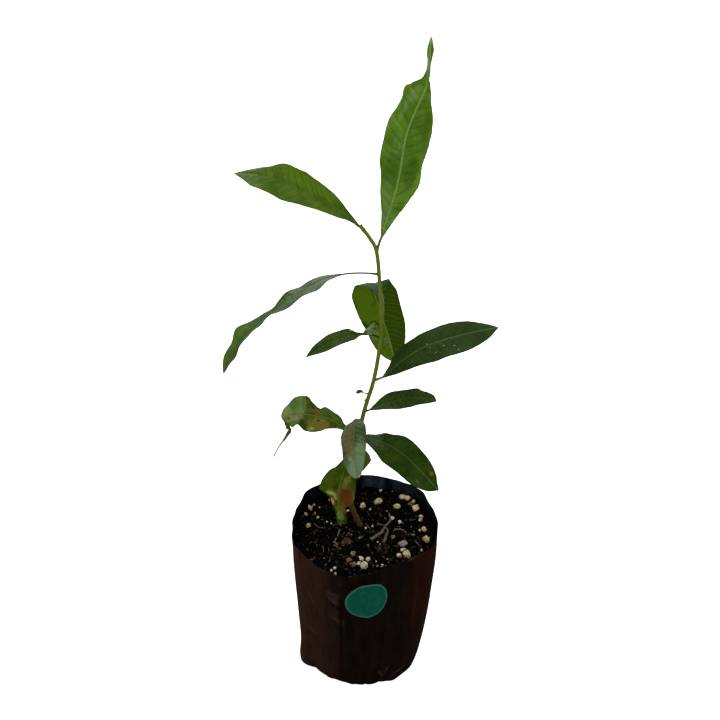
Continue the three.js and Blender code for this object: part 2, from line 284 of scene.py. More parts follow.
def film_sheen(bearing, height):
    """How strongly a painted sheen lightens the smooth film at a place"""
    sheen = 0
    for at_bearing, at_height, half_width, half_height, strength in sheens:
        around = degrees_past(bearing, at_bearing) * degree_round
        away = math.hypot(around / half_width, (height - at_height) / half_height)
        sheen = max(sheen, strength * (1 - smoothstep(away, 0.2, 1.35)))
    return sheen


def fold_light(bearing, height):
    """Painted light on the film's creases where they stand out or, below zero, painted shade where they sink
    """
    light = 0
    for crease in creases:
        share, away = near_crease(crease, bearing, height)
        light += clamped(crease[-1], -1, 1) * math.exp(-away * away) * math.sin(math.pi * share)
    return light


def on_film(bearing, height, outside):
    """A place that stands some distance outside the creased film"""
    radius = wall_radius(height) + film_relief(bearing, height) + outside
    return slumped(direction(bearing) * radius + Vector((0, 0, height)))


def outer_edges(parts, corners):
    """The edges among some parts that have both ends in a set of corners"""
    return [part for part in parts if isinstance(part, bmesh.types.BMEdge) and corners.issuperset(part.verts)]


def raise_rings(form, profile, sides):
    """Turns a profile of radius and height: a capped circle is extruded from ring to ring"""
    radius, height = profile[0]
    place = Matrix.Translation((0, 0, height))
    bmesh.ops.create_circle(form, cap_ends=True, segments=sides, radius=radius, matrix=place)
    edges = form.edges[:]
    for next_radius, next_height in profile[1:]:
        made = bmesh.ops.extrude_edge_only(form, edges=edges)["geom"]
        corners = [part for part in made if isinstance(part, bmesh.types.BMVert)]
        grown = set(corners)
        edges = outer_edges(made, grown)
        scale = next_radius / radius
        bmesh.ops.scale(form, vec=(scale, scale, 1), verts=corners)
        bmesh.ops.translate(form, vec=(0, 0, next_height - height), verts=corners)
        radius, height = next_radius, next_height


def piece_from(name, form, slot, *materials, smooth=True):
    """A piece of the object, in metres and at the origin, that stands with the pot"""
    bmesh.ops.scale(form, vec=(millimetre, millimetre, millimetre), verts=form.verts)
    mesh = bpy.data.meshes.new(name)
    form.to_mesh(mesh)
    form.free()
    if smooth:
        mesh.shade_smooth()
    else:
        mesh.shade_flat()
    for material in materials:
        mesh.materials.append(material)
    piece = bpy.data.objects.new(name, mesh)
    bpy.context.scene.collection.objects.link(piece)
    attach(piece, "root")
    return piece


def thicken(piece, thickness, inner_material=0):
    """Gives a sheet its thickness on the side that its faces turn away from"""
    wall = piece.modifiers.new("thickness", "SOLIDIFY")
    wall.thickness = thickness * millimetre
    wall.offset = -1
    wall.material_offset = inner_material


def add_node(tree, kind, inputs=(), **settings):
    """A shader node with its settings, and its inputs set to values or linked to other nodes"""
    node = tree.nodes.new("ShaderNode" + kind)
    for setting, value in settings.items():
        setattr(node, setting, value)
    for name, value in dict(inputs).items():
        if isinstance(value, bpy.types.NodeSocket):
            tree.links.new(value, node.inputs[name])
        else:
            node.inputs[name].default_value = value
    return node


def object_place(tree):
    return add_node(tree, "TexCoord").outputs["Object"]


def stretched(tree, place, scale):
    return add_node(tree, "Mapping", {"Vector": place, "Scale": scale}).outputs["Vector"]


def noisy(tree, place, size, detail=3.0, roughness=0.55):
    """Soft noise whose lumps are about that many millimetres across"""
    values = {"Vector": place, "Scale": 1 / (size * millimetre), "Detail": detail, "Roughness": roughness}
    return add_node(tree, "TexNoise", values).outputs["Fac"]


def mask(tree, value, low, high, at_low=0.0, at_high=1.0):
    """A smooth step from one value to another as the input goes from low to high"""
    values = {"Value": value, "From Min": low, "From Max": high, "To Min": at_low, "To Max": at_high}
    return add_node(tree, "MapRange", values, interpolation_type="SMOOTHSTEP").outputs["Result"]


def maths(tree, operation, first, second=0.0):
    return add_node(tree, "Math", {0: first, 1: second}, operation=operation).outputs[0]


def mixed(tree, share, first, second):
    """One colour turning into another"""
    return add_node(tree, "Mix", {0: share, 6: first, 7: second}, data_type="RGBA").outputs[2]


def rgb(red, green, blue):
    return (red, green, blue, 1)


def make_material(name, surface, **fixed):
    """A material: surface adds its nodes and says what feeds the shader, with Height in millimetres"""
    material = bpy.data.materials.new(name)
    material.use_nodes = True
    tree = material.node_tree
    tree.nodes.clear()
    values = {socket.replace("_", " "): value for socket, value in fixed.items()}
    shader = add_node(tree, "BsdfPrincipled", values)
    add_node(tree, "OutputMaterial", {"Surface": shader.outputs["BSDF"]})
    for socket, value in surface(tree).items():
        if socket == "Height":
            bump = add_node(tree, "Bump", {"Height": value, "Distance": millimetre, "Strength": 1.0})
            tree.links.new(bump.outputs["Normal"], shader.inputs["Normal"])
        else:
            tree.links.new(value, shader.inputs[socket])
    return material


def make_skin(name, colours, amounts, surface):
    """A node group that several materials wear: surface adds its nodes and says what feeds its outputs"""
    group = bpy.data.node_groups.new(name, "ShaderNodeTree")
    for socket in colours:
        group.interface.new_socket(socket, in_out="INPUT", socket_type="NodeSocketColor")
    for socket in amounts:
        group.interface.new_socket(socket, in_out="INPUT", socket_type="NodeSocketFloat")
    group.interface.new_socket("Color", in_out="OUTPUT", socket_type="NodeSocketColor")
    group.interface.new_socket("Roughness", in_out="OUTPUT", socket_type="NodeSocketFloat")
    group.interface.new_socket("Height", in_out="OUTPUT", socket_type="NodeSocketFloat")
    given = group.nodes.new("NodeGroupInput").outputs
    result = group.nodes.new("NodeGroupOutput")
    for socket, value in surface(group, given).items():
        group.links.new(value, result.inputs[socket])
    return group


def wearing(name, skin, values, **fixed):
    """A material that wears a skin with its own colours and amounts"""
    def surface(tree):
        worn = add_node(tree, "Group", values, node_tree=skin).outputs
        return {"Base Color": worn["Color"], "Roughness": worn["Roughness"], "Height": worn["Height"]}
    return make_material(name, surface, **fixed)


# Where each side of the film gets its painted light, from one X to another in metres
side_light_tones = [(-0.008, -0.055, "Left"), (-0.054, -0.070, "Left edge"), (0.038, 0.071, "Right")]
# Painted sheen and glint, painted light and painted shade on the creases, and the real colour of soil dust
sheen_grey = rgb(0.046, 0.041, 0.042)
glint = rgb(0.30, 0.31, 0.33)
low_fold_light = rgb(0.030, 0.031, 0.034)
high_fold_light = rgb(0.050, 0.020, 0.010)
fold_shadow = rgb(0.0018, 0.0010, 0.0007)
soil_dust = rgb(0.05, 0.04, 0.035)


def film_surface(tree, given):
    """Film with soft streaks, fine crinkles and a trace of soil dust.
    Its sides, sheens, glints and raised creases are painted light, and its sunk creases painted shade.
    """
    place = object_place(tree)
    streaks = noisy(tree, stretched(tree, place, (1, 1, 0.25)), 9, 4)
    crinkle = noisy(tree, stretched(tree, place, (1, 1, 0.6)), 2.4, 4)
    dust = mask(tree, noisy(tree, place, 0.9, 2), 0.72, 0.77)
    parts = add_node(tree, "SeparateXYZ", {"Vector": place}).outputs
    sheen = add_node(tree, "Attribute", attribute_name="sheen").outputs["Fac"]
    light = add_node(tree, "Attribute", attribute_name="fold_light").outputs["Fac"]
    uneven = mask(tree, streaks, 0.32, 0.58, 0.6, 1)
    colour = mixed(tree, mask(tree, streaks, 0.35, 0.7), given["Dark"], given["Wear and sheen"])
    for low, high, tone in side_light_tones:
        side = maths(tree, "MULTIPLY", mask(tree, parts["X"], low, high), uneven)
        colour = mixed(tree, side, colour, given[tone])
    corner = mask(tree, parts["X"], 0.024, 0.042)
    corner = maths(tree, "MULTIPLY", corner, mask(tree, parts["Z"], 0.050, 0.020))
    colour = mixed(tree, corner, colour, given["Foot"])
    # Painted sheens, with a painted glint where a sheen is strongest
    ragged = mask(tree, crinkle, 0.3, 0.65, 0.35, 1)
    ragged = maths(tree, "MULTIPLY", mask(tree, sheen, 0.05, 0.9), ragged)
    colour = mixed(tree, ragged, colour, sheen_grey)
    colour = mixed(tree, mask(tree, sheen, 0.85, 1.25), colour, glint)
    # Painted light along creases that stand out, bluish grey low down and brown higher up, and painted shade
    # in sunk ones
    fold_light_colour = mixed(tree, mask(tree, parts["Z"], 0.046, 0.078), low_fold_light, high_fold_light)
    colour = mixed(tree, mask(tree, light, 0.15, 1.0, 0, 0.55), colour, fold_light_colour)
    colour = mixed(tree, mask(tree, light, -0.15, -0.8, 0, 0.6), colour, fold_shadow)
    colour = mixed(tree, maths(tree, "MULTIPLY", dust, 0.4), colour, soil_dust)
    height = maths(tree, "MULTIPLY", streaks, 0.25)
    return {
        "Color": colour,
        "Roughness": mask(tree, crinkle, 0.3, 0.7, 0.3, 0.45),
        "Height": maths(tree, "ADD", height, maths(tree, "MULTIPLY", crinkle, 0.08)),
    }


film_skin = make_skin("film skin", ("Dark", "Wear and sheen", "Left", "Left edge", "Right", "Foot"), (), film_surface)

# Painted light: light comes through the film in brown where it stands off the soil at either side
outer_tones = {
    "Dark": rgb(0.0036, 0.0021, 0.0013),
    "Wear and sheen": rgb(0.0074, 0.0040, 0.0023),
    "Left": rgb(0.0275, 0.0100, 0.0054),
    "Left edge": rgb(0.0460, 0.0170, 0.0090),
    "Right": rgb(0.0200, 0.0034, 0.0008),
    "Foot": rgb(0.0050, 0.0052, 0.0062),
}
inner_dark = rgb(0.0036, 0.0050, 0.0078)
# Inside, the wear and sheen tone is a painted blue-grey sheen in streaks, held back on the left side
inner_tones = {
    "Dark": inner_dark,
    "Wear and sheen": rgb(0.0360, 0.0460, 0.0620),
    "Left": inner_dark,
    "Left edge": inner_dark,
    "Right": rgb(0.0040, 0.0055, 0.0080),
    "Foot": inner_dark,
}
film_outside = wearing("film outside", film_skin, outer_tones, Specular_IOR_Level=0.03)
film_inside = wearing(
    "film inside", film_skin, inner_tones, Specular_IOR_Level=0.12, Specular_Tint=rgb(0.6, 0.75, 1.0),
)


def bag_profile():
    """Radius and height of each ring, from the middle of the foot out and up to the rim"""
    profile = [(radius, 0) for radius in foot_rings]
    middle = wall_radius(corner_radius) - corner_radius
    corner_steps = 7
    for step in range(corner_steps + 1):
        turn = math.radians(90) * step / corner_steps
        profile.append((middle + corner_radius * math.sin(turn), corner_radius * (1 - math.cos(turn))))
    rings = round((bag_height - corner_radius) / film_ring_gap)
    for ring in range(1, rings + 1):
        height = lerp(corner_radius, bag_height, ring / rings)
        profile.append((wall_radius(height), height))
    return profile


bag_form = bmesh.new()
raise_rings(bag_form, bag_profile(), film_sides)
# Painted sheens, and painted light and painted shade along the creases, are kept at the film's corners
sheen = bag_form.verts.layers.float.new("sheen")
light = bag_form.verts.layers.float.new("fold_light")
for corner in bag_form.verts:
    bearing = math.degrees(math.atan2(corner.co.y, corner.co.x))
    corner[sheen] = film_sheen(bearing, corner.co.z)
    corner[light] = fold_light(bearing, corner.co.z)
    near_lip = smoothstep(corner.co.z, bag_height - lip_ripple_reach, bag_height)
    ripple = lip_ripple_depth * near_lip * noise.noise(direction(bearing) * lip_ripple_turns)
    outwards = Vector((corner.co.x, corner.co.y, 0)).normalized() * film_relief(bearing, corner.co.z)
    corner.co = slumped(corner.co + outwards) + Vector((0, 0, ripple))
bmesh.ops.recalc_face_normals(bag_form, faces=bag_form.faces)
bag = piece_from("film_bag", bag_form, "film", film_outside, film_inside)
thicken(bag, film_thickness, inner_material=1)
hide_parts("bag")

# Sticker
# A round paper label with a satin print, stuck on the film's front just below the rim.
# It is blank, with only the thin pale line that runs round inside its edge.
sticker_rings = 14
sticker_sides = 96
sticker_thickness = 0.18
sticker_stands_out = 0.5
line_share = 0.95
line_width = 0.013
deep_green = rgb(0.0004, 0.050, 0.032)
light_green = rgb(0.0012, 0.068, 0.045)
pale_line = rgb(0.16, 0.30, 0.25)

# The film leans under it, so that it looks a little lower than it is wide
sticker_squash = 0.92


def sticker_surface(tree):
    """Satin green print with a thin pale line inside its edge"""
    away = add_node(tree, "Attribute", attribute_name="from_middle").outputs["Fac"]
    off_line = maths(tree, "ABSOLUTE", maths(tree, "SUBTRACT", away, line_share))
    line = mask(tree, off_line, line_width * 0.5, line_width, 0.4, 0)
    cloudy = noisy(tree, object_place(tree), 5, 4)
    print_green = mixed(tree, mask(tree, cloudy, 0.3, 0.7), deep_green, light_green)
    edge = mask(tree, away, 0.985, 1.0, 0, 0.5)
    colour = mixed(tree, maths(tree, "MAXIMUM", line, edge), print_green, pale_line)
    return {
        "Base Color": colour,
        "Roughness": mask(tree, cloudy, 0.3, 0.7, 0.4, 0.5),
        "Height": maths(tree, "MULTIPLY", noisy(tree, object_place(tree), 0.9, 2), 0.02),
    }


sticker_print = make_material("sticker print", sticker_surface, Specular_IOR_Level=0.03)
sticker_form = bmesh.new()
sticker_profile = [(max(1, sticker_radius * ring / sticker_rings), 0) for ring in range(sticker_rings + 1)]
raise_rings(sticker_form, sticker_profile, sticker_sides)
from_middle = sticker_form.verts.layers.float.new("from_middle")
for corner in sticker_form.verts:
    corner[from_middle] = corner.co.length / sticker_radius
    height = sticker_height + corner.co.y * sticker_squash
    bearing = sticker_bearing + math.degrees(corner.co.x / wall_radius(height))
    corner.co = on_film(bearing, height, sticker_stands_out)
bmesh.ops.recalc_face_normals(sticker_form, faces=sticker_form.faces)
if sum(face.normal.y for face in sticker_form.faces) > 0:
    bmesh.ops.reverse_faces(sticker_form, faces=sticker_form.faces)
sticker = piece_from("round_sticker", sticker_form, "sticker", sticker_print)
thicken(sticker, sticker_thickness)
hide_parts("sticker")

# Soil
# Dark potting soil of peat, bark and sand, filled to a finger's width below the rim.
# Crumbs, bark chips, fibres and thin roots lie loose on it.
soil_level = 182
soil_rings = 58
soil_sides = 150
hummock = 1.1
mound_height = 1.6
mound_radius = 14
stem_foot = Vector((0, 15, soil_level))
soil_to_film = 0.2
grain_reach = 0.96
soil_skirt = 5
soil_dark = rgb(0.0004, 0.0003, 0.0003)
soil_brown = rgb(0.0032, 0.0023, 0.0017)
soil_pale = rgb(0.045, 0.036, 0.028)
crumb_seed = 12

# Lumps of bark and peat that stand out of the soil: X, Y and width of each
lumps = [
    (-13, -9, 13), (23, -20, 15), (12, 4, 8), (46, 1, 8), (53, -11, 10), (34, 30, 10), (-36, -12, 12),
    (-31, 4, 11), (-36, 34, 12), (-14, 40, 10), (-6, 60, 12), (34, 64, 8), (4, -16, 10), (-14, -46, 10),
    (33, -44, 9), (-52, -4, 11), (-48, 20, 10),
]
lump_height_share = 0.3
lump_spread = 0.4
lump_shape = [0.46, 0.38, 0.3]
lump_sunk = 0.75


def soil_base(x, y):
    """Height of the soil's even top: gentle hummocks, and a low mound round the stem"""
    away = math.hypot(x - stem_foot.x, y - stem_foot.y) / mound_radius
    mound = math.exp(-away * away)
    lump = 0
    for lump_x, lump_y, width in lumps:
        off_lump = math.hypot(x - lump_x, y - lump_y) / (width * lump_spread)
        lump += width * lump_height_share * math.exp(-off_lump * off_lump)
    rough = hummock * (math.sin(x / 8 + 1) * math.cos(y / 9) + 0.6 * math.sin(x / 5 - y / 6))
    return soil_level + mound_height * mound + rough * (1 - mound) + lump


def ground(x, y):
    """Height of the lumpy soil that shows"""
    lumps = 1.5 * noise.noise(Vector((x / 6, y / 6, 3))) + 0.9 * noise.noise(Vector((x / 2.6, y / 2.6, 8)))
    grit = 0.45 * noise.noise(Vector((x / 1.2, y / 1.2, 5)))
    return soil_base(x, y) + lumps + grit - 0.4


def soil_place(bearing, share):
    """A place on the soil, as a share of the way from its middle to the film"""
    radius = wall_radius(soil_level) - film_thickness - soil_to_film
    flat = slumped(direction(bearing) * share * radius + Vector((0, 0, soil_level)))
    flat += direction(bearing) * film_relief(bearing, soil_level) * smoothstep(share, 0.85, 1)
    return Vector((flat.x, flat.y, ground(flat.x, flat.y)))


def soil_surface(tree):
    """Dark soil with brown patches and pale grains"""
    place = object_place(tree)
    patches = noisy(tree, place, 7, 4)
    grains = noisy(tree, place, 1.3, 3, 0.7)
    colour = mixed(tree, mask(tree, patches, 0.4, 0.68), soil_dark, soil_brown)
    colour = mixed(tree, mask(tree, grains, 0.66, 0.76), colour, soil_pale)
    return {
        "Base Color": colour,
        "Roughness": mask(tree, grains, 0.3, 0.7, 0.75, 0.98),
        "Height": maths(tree, "MULTIPLY", grains, 0.8),
    }


damp_soil = make_material("damp soil", soil_surface, Specular_IOR_Level=0.02)
soil_form = bmesh.new()
soil_profile = [((ring + 1) / soil_rings, 0) for ring in range(soil_rings)] + [(1, -soil_skirt)]
raise_rings(soil_form, soil_profile, soil_sides)
for corner in soil_form.verts:
    bearing = math.degrees(math.atan2(corner.co.y, corner.co.x))
    share = math.hypot(corner.co.x, corner.co.y)
    corner.co = soil_place(bearing, share) + Vector((0, 0, corner.co.z))
bmesh.ops.recalc_face_normals(soil_form, faces=soil_form.faces)
soil = piece_from("soil_top", soil_form, "soil", damp_soil)
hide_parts("soil")


def small_shape(subdivisions):
    """Corners and faces of a ball of a few faces, to scatter"""
    ball = bmesh.new()
    bmesh.ops.create_icosphere(ball, subdivisions=subdivisions, radius=1)
    corners = [corner.co.copy() for corner in ball.verts]
    faces = [[corner.index for corner in face.verts] for face in ball.faces]
    ball.free()
    return corners, faces


def scatter(name, places, slot, material, subdivisions=1, knobs=0.28, knob_rate=1.7, smooth=False):
    """Joins one knobbly grain at each place, a matrix in millimetres, into one piece"""
    corners, faces = small_shape(subdivisions)
    vertices = []
    polygons = []
    for place in places:
        start = len(vertices)
        for corner in corners:
            knob = 1 + knobs * noise.noise(corner * knob_rate + place.translation * 3)
            vertices.append(place @ (corner * knob))
        polygons += [[start + index for index in face] for face in faces]
    mesh = bpy.data.meshes.new(name)
    mesh.from_pydata(vertices, [], polygons)
    form = bmesh.new()
    form.from_mesh(mesh)
    bpy.data.meshes.remove(mesh)
    return piece_from(name, form, slot, material, smooth=smooth)


def grain_places(count, smallest, largest, flatness, dice, sunk=0.2):
    """Random places on the soil, small grains far more often than large ones"""
    places = []
    for _ in range(count):
        spot = soil_place(dice.uniform(-180, 180), grain_reach * math.sqrt(dice.random()))
        size = lerp(smallest, largest, dice.random() ** 3) / 2
        turn = Matrix.Rotation(dice.uniform(0, 6.3), 4, "Z")
        turn = turn @ Matrix.Rotation(dice.uniform(-0.6, 0.6), 4, "X")
        shape = Matrix.Diagonal((size * dice.uniform(1, 1.5), size, size * flatness, 1))
        middle = spot + Vector((0, 0, size * flatness * (1 - 2 * sunk)))
        places.append(Matrix.Translation(middle) @ turn @ shape)
    return places


def grain_surface(tree, given):
    """Grains that differ from one to the next, with stains and pores"""
    place = object_place(tree)
    pores = noisy(tree, place, 0.7, 3, 0.7)
    patch_values = {"Vector": place, "Scale": given["Patch scale"], "Detail": 2, "Roughness": 0.55}
    patches = add_node(tree, "TexNoise", patch_values).outputs["Fac"]
    colour = mixed(tree, mask(tree, patches, 0.35, 0.65), given["Dark"], given["Light"])
    colour = mixed(tree, mask(tree, pores, 0.56, 0.7), colour, given["Stain"])
    return {
        "Color": colour,
        "Roughness": mask(tree, pores, 0.3, 0.7, 0.8, 1.0),
        "Height": maths(tree, "MULTIPLY", pores, 0.5),
    }


grain_skin = make_skin("grain skin", ("Dark", "Light", "Stain"), ("Patch scale",), grain_surface)


def grain_material(name, dark, light, stain, patch_size, gloss):
    """A material of grains, with patches about that many millimetres across"""
    values = {
        "Dark": rgb(*dark), "Light": rgb(*light), "Stain": rgb(*stain),
        "Patch scale": 1 / (patch_size * millimetre),
    }
    return wearing(name, grain_skin, values, Specular_IOR_Level=gloss)


# Looks of the grains: dark, light and stain colour, size of the patches and gloss
grain_looks = {
    "dark crumb": ((0.0005, 0.0004, 0.0004), (0.0042, 0.0031, 0.0023), (0.0003, 0.0002, 0.0002), 2, 0.02),
    "brown crumb": ((0.006, 0.004, 0.0025), (0.030, 0.020, 0.013), (0.0015, 0.0012, 0.001), 2, 0.03),
    "bark nodule": ((0.026, 0.014, 0.007), (0.115, 0.068, 0.040), (0.005, 0.003, 0.002), 3, 0.03),
    "olive peat": ((0.006, 0.005, 0.002), (0.034, 0.030, 0.014), (0.002, 0.002, 0.001), 3, 0.03),
    "grey crumb": ((0.04, 0.033, 0.027), (0.18, 0.15, 0.115), (0.02, 0.016, 0.013), 2, 0.06),
    "dark fibre": ((0.004, 0.003, 0.002), (0.022, 0.014, 0.009), (0.002, 0.0015, 0.001), 2, 0.04),
}
grain_materials = {name: grain_material(name, *look) for name, look in grain_looks.items()}

# Loose grains: how many, smallest and largest width, thickness as a share of the width, and look
loose_grains = {
    "dark_crumbs": (3200, 0.9, 4.2, 0.8, "dark crumb"),
    "brown_crumbs": (420, 0.7, 3.2, 0.7, "brown crumb"),
    "grey_crumbs": (520, 0.3, 1.2, 0.8, "grey crumb"),
    "bark_chips": (70, 2.5, 6.5, 0.3, "brown crumb"),
}
grain_dice = random.Random(crumb_seed)
for name, (count, smallest, largest, flatness, look) in loose_grains.items():
    places = grain_places(count, smallest, largest, flatness, grain_dice)
    scatter(name, places, "soil", grain_materials[look])

lump_places = []
for x, y, width in lumps:
    shape = Matrix.Diagonal([width * share for share in lump_shape] + [1])
    middle = Vector((x, y, soil_base(x, y) - width * lump_height_share * lump_sunk))
    lump_places.append(Matrix.Translation(middle) @ Matrix.Rotation(x, 4, "Z") @ shape)

# The first lump is a nodule of bark, the next three are olive peat and the rest are dark peat
for name, places, look, knobs in (
    ("bark_nodule", lump_places[:1], "bark nodule", 0.4),
    ("soil_lumps", lump_places[1:4], "olive peat", 0.35),
    ("peat_lumps", lump_places[4:], "dark crumb", 0.35),
):
    scatter(name, places, "soil", grain_materials[look], subdivisions=4, knobs=knobs, smooth=True)


def add_tube(form, route, radii, sides):
    """A closed tapering tube: a capped circle is extruded from place to place along the route"""
    ahead = (route[1] - route[0]).normalized()
    turn = ahead.to_track_quat("Z", "Y")
    place = Matrix.LocRotScale(route[0], turn, Vector((radii[0], radii[0], 1)))
    ring = bmesh.ops.create_circle(form, cap_ends=True, segments=sides, radius=1, matrix=place)["verts"]
    edges = list({edge for corner in ring for edge in corner.link_edges})
    for step in range(1, len(route)):
        behind = route[step - 1]
        beyond = route[min(step + 1, len(route) - 1)]
        next_ahead = (beyond - behind).normalized()
        turn = ahead.rotation_difference(next_ahead) @ turn
        ahead = next_ahead
        next_place = Matrix.LocRotScale(route[step], turn, Vector((radii[step], radii[step], 1)))
        made = bmesh.ops.extrude_edge_only(form, edges=edges)["geom"]
        corners = [part for part in made if isinstance(part, bmesh.types.BMVert)]
        grown = set(corners)
        edges = outer_edges(made, grown)
        bmesh.ops.transform(form, matrix=next_place @ place.inverted(), verts=corners)
        place = next_place
    bmesh.ops.contextual_create(form, geom=edges)


def lying_route(points, lift):
    """A route over the soil through places given as X and Y"""
    return [Vector((x, y, ground(x, y) + lift)) for x, y in points]


def smooth_route(points, steps):
    """A route that passes each point on a smooth curve"""
    padded = [2 * points[0] - points[1]] + points + [2 * points[-1] - points[-2]]
    route = []
    for index in range(1, len(padded) - 2):
        before, start, end, after = padded[index - 1:index + 3]
        for step in range(steps):
            share = step / steps
            route.append(
                0.5 * (2 * start + (end - before) * share
                       + (2 * before - 5 * start + 4 * end - after) * share ** 2
                       + (3 * start - before - 3 * end + after) * share ** 3)
            )
    route.append(points[-1].copy())
    return route


# Thin roots: thickness at the thick end, then X and Y of each point
roots = [
    (1.8, [(-21, 8), (-23, 1), (-26, -8), (-24, -12), (-23, -17), (-28, -24), (-30, -33), (-35, -40)]),
    (1.2, [(-28, -8), (-22, -10), (-27, -13), (-21, -15)]),
    (1.3, [(-28, -24), (-31, -21), (-32, -17)]),
    (3.8, [(11, -6), (16, -1), (23, 6), (27, 14), (32, 20), (31, 29)]),
    (3.4, [(24, -9), (26, -3), (27, 1), (29, 7), (27, 13)]),
    (2.6, [(36, 9), (41, 9), (46, 6)]),
    (1.8, [(18, 16), (23, 15), (28, 15)]),
    (1.4, [(6, 16), (9, 12), (11, 8)]),
    (1.6, [(55, -7), (58, -11), (61, -15)]),
    (1.2, [(56, 51), (58, 47), (60, 44)]),
    (1.3, [(-38, -16), (-37, -19), (-37, -22)]),
    (1.0, [(-50, 20), (-44, 12), (-36, 10)]),
]
root_lift = 1.0
root_lift_share = 0.15
root_tip_share = 0.4
root_sides = 8
fibre_count = 340
fibre_spread = 0.93
fibre_steps = 5
fibre_turn = 38
fibre_reach = 66
fibre_sides = 4
fibre_taper = [0.3, 0.5, 0.5, 0.42, 0.2]
root_dark = rgb(0.052, 0.034, 0.022)
root_pale = rgb(0.185, 0.130, 0.090)


def root_surface(tree):
    """Dull brown root with a little grain"""
    place = object_place(tree)
    grain = noisy(tree, place, 1.0, 3)
    return {
        "Base Color": mixed(tree, mask(tree, grain, 0.35, 0.65), root_dark, root_pale),
        "Roughness": mask(tree, grain, 0.3, 0.7, 0.7, 0.95),
        "Height": maths(tree, "MULTIPLY", grain, 0.4),
    }


root_bark = make_material("root bark", root_surface, Specular_IOR_Level=0.05)
root_form = bmesh.new()
for thickness, points in roots:
    route = smooth_route(lying_route(points, thickness * root_lift_share + root_lift), 6)
    radii = []
    for step in range(len(route)):
        taper = lerp(1, root_tip_share, step / (len(route) - 1))
        radii.append(thickness / 2 * taper * (1 + 0.25 * math.sin(step * 2.1)))
    add_tube(root_form, route, radii, root_sides)
piece_from("thin_roots", root_form, "soil", root_bark)


def fibre_form(count, longest, thickness, dice):
    """Thin fibres that wander over the soil and stay clear of the film"""
    form = bmesh.new()
    for _ in range(count):
        spot = soil_place(dice.uniform(-180, 180), fibre_spread * math.sqrt(dice.random()))
        heading = dice.uniform(-180, 180)
        length = dice.uniform(0.35, 1) * longest
        points = []
        for _ in range(fibre_steps):
            points.append((spot.x, spot.y))
            spot = spot + direction(heading) * length / fibre_steps
            heading += dice.uniform(-fibre_turn, fibre_turn)
        route = lying_route(points, 0.5 + dice.uniform(0, 0.5))
        if max(math.hypot(x - rim_shift, y) for x, y in points) < fibre_reach:
            add_tube(form, route, [thickness * share for share in fibre_taper], fibre_sides)
    return form


dark_fibres = fibre_form(fibre_count, 18, 0.8, grain_dice)
piece_from("soil_fibres", dark_fibres, "soil", grain_materials["dark fibre"])
pale_fibres = fibre_form(fibre_count // 3, 13, 0.6, grain_dice)
piece_from("pale_fibres", pale_fibres, "soil", root_bark)

# Pumice
# Porous cream stones mixed into the soil, which lie half sunk in its top.
# The ten large ones are pieces of their own, and the small ones and the white grit are joined.

# X, Y and mean width of each stone
pumice = [
    (47, 57, 7), (61, 41, 8), (40, 42, 7), (20, 50, 8), (3, 43, 7),
    (67, 9, 6), (47, -26, 9), (68, -6, 8), (4, -41, 9), (-54, 40, 6),
]
small_pumice = {
    "cream": [
        (52, 54, 6), (58, 50, 5), (65, 27, 5), (64, 23, 4), (-50, 45, 2.5), (-44, 42, 2), (-58, 30, 5),
        (-49, 34, 3.5), (-45, 28, 3.5), (-54, 14, 6), (39, -27, 6), (62, 8, 3.5), (8, -31, 5),
        (27, -32, 2.2), (22, -38, 2.2),
    ],
    "white": [
        (44, -19, 5), (34, 24, 4.5), (42, 20, 5), (23, 69, 3.3), (11, 38, 2.5), (2, 61, 2), (29, 34, 2.5),
        (36, 65, 2), (13, 13, 3), (6, 10, 2.5), (21, -12, 3), (18, -8, 2.5), (56, 5, 2), (62, -19, 3),
        (1, -29, 5), (-1, -36, 4.5), (-35, 20, 2), (-30, 18, 2), (-13, 36, 3), (-34, 53, 2),
        (-25, -43, 3.5), (-28, -46, 3), (-24, -49, 3), (16, -34, 2), (29, -45, 2),
    ],
    "brown": [
        (55, 46, 6), (34, -1, 5), (55, 1, 4), (1, -4, 4), (-6, -38, 5), (-14, 11, 2), (-11, 8, 1.6),
        (-12, 4, 1.8), (-9, 2, 2.2), (-8, 6, 1.4), (17, -40, 3.5), (21, -41, 3.4), (25, -40, 2.6),
        (13, -40, 2.4), (-20, -18, 3), (8, -13, 3),
    ],
    "rosy": [(44, -11, 8)],
    "olive": [(-7, -24, 5), (0, -4, 3.4)],
    "amber": [(-11, -33, 5.5), (-9, -36, 3)],
}
grit_count = 230
pumice_lift = 0.12
stone_shape = [0.58, 0.46, 0.4]
stone_turn = 1.1
stone_tilt = 0.2
stone_knobs = 0.3
stone_knob_rate = 1.2
stone_patch_size = 3
stone_gloss = 0.05

# Which of the large stones are white, counted from zero
white_stones = [8]

# Looks of the stones: dark, light and stain colour
stone_looks = {
    "cream": ((0.34, 0.24, 0.10), (0.64, 0.52, 0.30), (0.20, 0.10, 0.03)),
    "white": ((0.34, 0.29, 0.20), (0.66, 0.60, 0.46), (0.20, 0.14, 0.08)),
    "brown": ((0.080, 0.048, 0.028), (0.21, 0.140, 0.090), (0.035, 0.02, 0.012)),
    "rosy": ((0.12, 0.085, 0.065), (0.30, 0.235, 0.19), (0.06, 0.04, 0.025)),
    "olive": ((0.10, 0.10, 0.03), (0.25, 0.25, 0.10), (0.06, 0.05, 0.02)),
    "amber": ((0.085, 0.050, 0.012), (0.19, 0.125, 0.035), (0.03, 0.02, 0.008)),
}
stone_materials = {}
for kind, colours in stone_looks.items():
    stone_materials[kind] = grain_material(f"pumice {kind}", *colours, stone_patch_size, stone_gloss)


